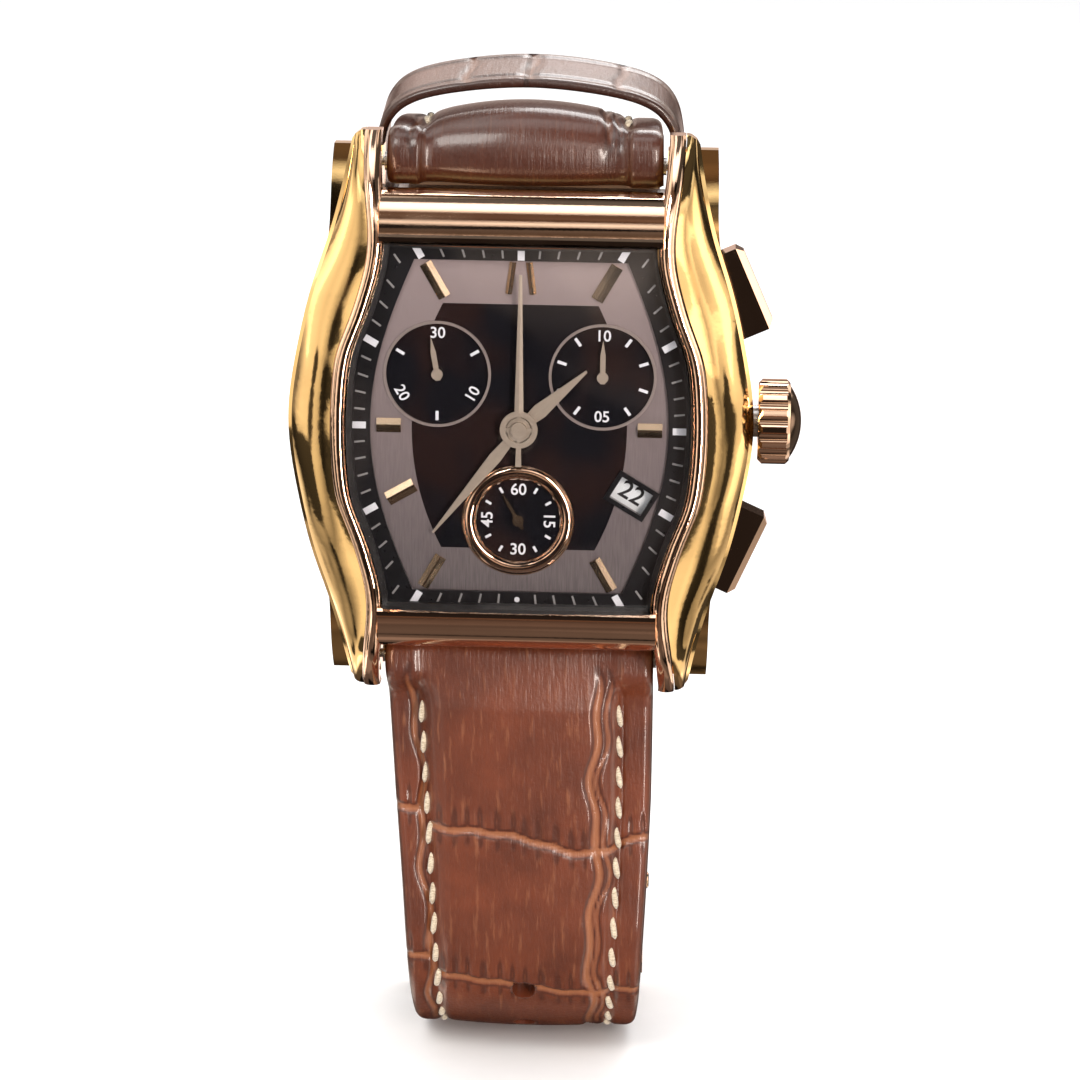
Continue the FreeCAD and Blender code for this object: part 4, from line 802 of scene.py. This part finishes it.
def cut_away(piece, points, faces, name):
    """Exact boolean difference, applied to the piece's mesh."""
    mesh = bpy.data.meshes.new(name)
    mesh.from_pydata([tuple(point) for point in points], [], faces)
    mesh.materials.append(piece.data.materials[0])
    cutter = bpy.data.objects.new(name, mesh)
    bpy.context.scene.collection.objects.link(cutter)
    tool = piece.modifiers.new("cut", "BOOLEAN")
    tool.operation, tool.solver, tool.object = "DIFFERENCE", "EXACT", cutter
    tool.use_self = True
    bpy.context.view_layer.update()
    result = bpy.data.meshes.new_from_object(piece.evaluated_get(bpy.context.evaluated_depsgraph_get()))
    piece.modifiers.remove(tool)
    piece.data = result
    bpy.data.objects.remove(cutter)


def stitch_row(half, path, name, thread):
    """Saddle stitches along a path of (s, share of the half-width, sign)."""
    line = np.array([(s, share * float(half.half_width(s))) for s, share in path])
    steps = np.hypot(*np.diff(line, axis=0).T)
    travelled = np.concatenate([[0], np.cumsum(steps)])
    points, faces = [], []
    for place in np.arange(STITCH_PITCH / 2, travelled[-1], STITCH_PITCH):
        s, x = (float(np.interp(place, travelled, line[:, axis])) for axis in (0, 1))
        ahead = [float(np.interp(place + 0.2, travelled, line[:, axis])) for axis in (0, 1)]
        add_stitch(half, s, x, math.atan2(ahead[1] - x, ahead[0] - s), points, faces)
    return make_piece(name, points, faces, thread)


def add_stitch(half, s, x, direction, points, faces, around=8, along=7):
    """One plump stitch whose ends dip into the leather."""
    slant = direction + math.radians(11 + random.uniform(-3, 3)) * (1 if x > 0 else -1)
    base = len(points)
    level = float(half.top(np.array([s]), np.array([x]))[0])
    for ring in range(along):
        run = -1 + 2 * ring / (along - 1)
        girth = math.sqrt(max(0.04, 1 - abs(run) ** 3)) * STITCH_WIDTH / 2
        for step in range(around):
            angle = 2 * math.pi * step / around
            forward, sideways = run * STITCH_LENGTH / 2, girth * math.cos(angle)
            s_here = s + forward * math.cos(slant) - sideways * math.sin(slant)
            x_here = x + forward * math.sin(slant) + sideways * math.cos(slant)
            height = level + 0.16 - 0.30 * abs(run) ** 3 + girth * 0.8 * math.sin(angle)
            points.append(half.place(s_here, x_here, height))
    for ring in range(along - 1):
        for step in range(around):
            after = (step + 1) % around
            a, b = base + ring * around, base + (ring + 1) * around
            faces.append([a + step, a + after, b + after, b + step])
    faces.append([base + step for step in range(around)][::-1])
    faces.append([base + (along - 1) * around + step for step in range(around)])


# ---------------------------------------------------------------- keepers
def closed_curve(points, count):
    """Smooth closed line through the points, as count samples."""
    points = np.array(points, float)
    total = len(points)
    samples = []
    for step in range(count):
        place = total * step / count
        index, t = int(place), place - int(place)
        p0, p1, p2, p3 = (points[(index + shift) % total] for shift in (-1, 0, 1, 2))
        samples.append(0.5 * (2 * p1 + (p2 - p0) * t + (2 * p0 - 5 * p1 + 4 * p2 - p3) * t ** 2
                              + (3 * p1 - p0 - 3 * p2 + p3) * t ** 3))
    return np.array(samples)


def keeper_crease(x, run, width, creases):
    """Depth 0 to 1 of the creases across a keeper and of the line along its borders."""
    across = [valley(x - place - 0.25 * math.sin(0.9 * run), 0.32) for place in creases]
    return max(across + [0.55 * valley(abs(run) - width / 2 + 1.3, 0.25)])


def keeper(name, outer, inner, width, to_place, creases, leather, body):
    """Leather loop: rounded edges, a folded border and a few creases across it."""
    count, edge = 220, 0.32
    outside, inside = closed_curve(outer, count), closed_curve(inner, count)
    across = np.linspace(-1, 1, 27) * (width / 2 - edge)
    section = [(run, 1.0) for run in across]
    crease_shade_rim = width / 2 - edge
    section += [(crease_shade_rim + edge * math.cos(a), 0.5 + 0.5 * math.sin(a)) for a in (1.1, 0.55, 0.0, -0.55, -1.1)]
    section += [(run, 0.0) for run in across[::-3]]
    section += [(-crease_shade_rim - edge * math.cos(a), 0.5 + 0.5 * math.sin(a)) for a in (-1.1, -0.55, 0.0, 0.55, 1.1)]
    points, faces, length, crosswise, crease, shade = [], [], [], [], [], []
    travelled = 0.0
    for index in range(count):
        wall = outside[index] - inside[index]
        for run, share in section:
            spot = inside[index] + wall * share
            cut = keeper_crease(outside[index][0], run, width, creases) if share == 1.0 else 0.0
            spot = spot - wall * (0.30 * cut + 0.02)
            points.append(to_place(spot[0], run, spot[1]))
            length.append(run * 1.4)
            crosswise.append(travelled)
            crease.append(cut)
            # Painted shade: the whole keeper is darkened, its edges and inside more than its outer face.
            shade.append(0.8 if share < 1.0 else 0.6)
        ahead = outside[(index + 1) % count] - outside[index]
        travelled += float(np.hypot(*ahead))
    ring = len(section)
    for row in range(count):
        after_row = (row + 1) % count
        for column in range(ring):
            after = (column + 1) % ring
            near, far = row * ring, after_row * ring
            faces.append([near + column, near + after, far + after, far + column])
    piece = make_piece(name + "_leather", points, faces, leather, body)
    add_layers(piece, lengthwise=length, crosswise=crosswise, crease=crease, shade=shade)
    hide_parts(name)
    return piece


def mirrored_outline(crown, right):
    """Closed (x, height) outline from its right-hand points, its crown and a flat foot."""
    return [(0, crown)] + right + [(0, 0)] + [(-x, height) for x, height in reversed(right)]


def free_place(x, run, height):
    """Keeper high on the upper half, its height along +Z and leaning a little to the front."""
    y = run * math.cos(FREE_TILT) - height * math.sin(FREE_TILT)
    z = run * math.sin(FREE_TILT) + height * math.cos(FREE_TILT)
    return Vector((x, FREE_PLACE[0] + y, FREE_PLACE[1] + z)) * MM


def fixed_place(x, run, height):
    """Keeper above the buckle, its height along +Y."""
    return Vector((x, FIXED_PLACE[0] + height, FIXED_PLACE[1] - run)) * MM


def make_keepers(leather):
    outer = mirrored_outline(FREE_CROWN, FREE_KEEPER)
    inner = [(0.94 * x, 0.9 + 0.862 * height) for x, height in outer]
    keeper("free_keeper", outer, inner, 8.0, free_place, (-5.0, 0.1, 7.4), leather, "free_keeper")
    outer = mirrored_outline(FIXED_CROWN, FIXED_KEEPER)
    inner = [(0.918 * x, 1.0 + 0.79 * height) for x, height in outer]
    keeper("fixed_keeper", outer, inner, 6.5, fixed_place, (-4.2, 3.1), leather, "watch")


def make_straps(finishes, thread):
    leather, lining = finishes["strap_leather"], finishes["strap_lining"]
    lower = Half("lower_strap", lower_route(), LOWER_WIDTH, LOWER_THICKNESS, 1,
                 LOWER_CREASES, tip=10.0, drift=0.7, dusk=0.0)
    # The upper half's face is darkened with painted shade.
    upper = Half("upper_strap", upper_route(), UPPER_WIDTH, UPPER_THICKNESS, -1,
                 UPPER_CREASES, tip=0.0, drift=0.0, dusk=0.62)
    for half, slotted in ((lower, True), (upper, False)):
        piece = half.build(leather, lining)
        if slotted:
            half.pierce(piece, HOLES, "round_holes")
            half.pierce(piece, np.linspace(*TONGUE_SLOT, 9), "tongue_slot")
        last = half.route.length - (9.0 if half.tip else 5.0)
        for side, label in ((-1, "left"), (1, "right")):
            path = [(s, side * SEAM) for s in np.linspace(STITCHES_START, last, 60)]
            stitch_row(half, path, f"{half.name}_stitches_{label}", thread)


# ---------------------------------------------------------------- make
make_camera()
bpy.context.scene.view_settings.view_transform = "Standard"
studio_world()
make_stage()
area_light("key", (-0.30, -0.50, 0.55), (0.30, 0.30), 3.0, (1.0, 0.97, 0.92))
area_light("strip", (0.26, -0.46, 0.02), (0.05, 0.50), 3.2, (1.0, 0.88, 0.80))
area_light("crease_shade_rim", (0.15, 0.50, 0.50), (0.40, 0.30), 2.0)
finishes = make_finishes()
dress_cad(finishes)
white = plain_finish("white_print", (0.85, 0.86, 0.88), 0.5, 0.001)
grey = plain_finish("grey_print", (0.30, 0.29, 0.28), 0.5, 0.001)
ink = plain_finish("black_ink", (0.012, 0.012, 0.014), 0.5, 0.001)
minute_track(white, grey)
counter_print(white)
date_numerals(ink)
thread = thread_finish()
make_straps(finishes, thread)
make_keepers(finishes["strap_leather"])
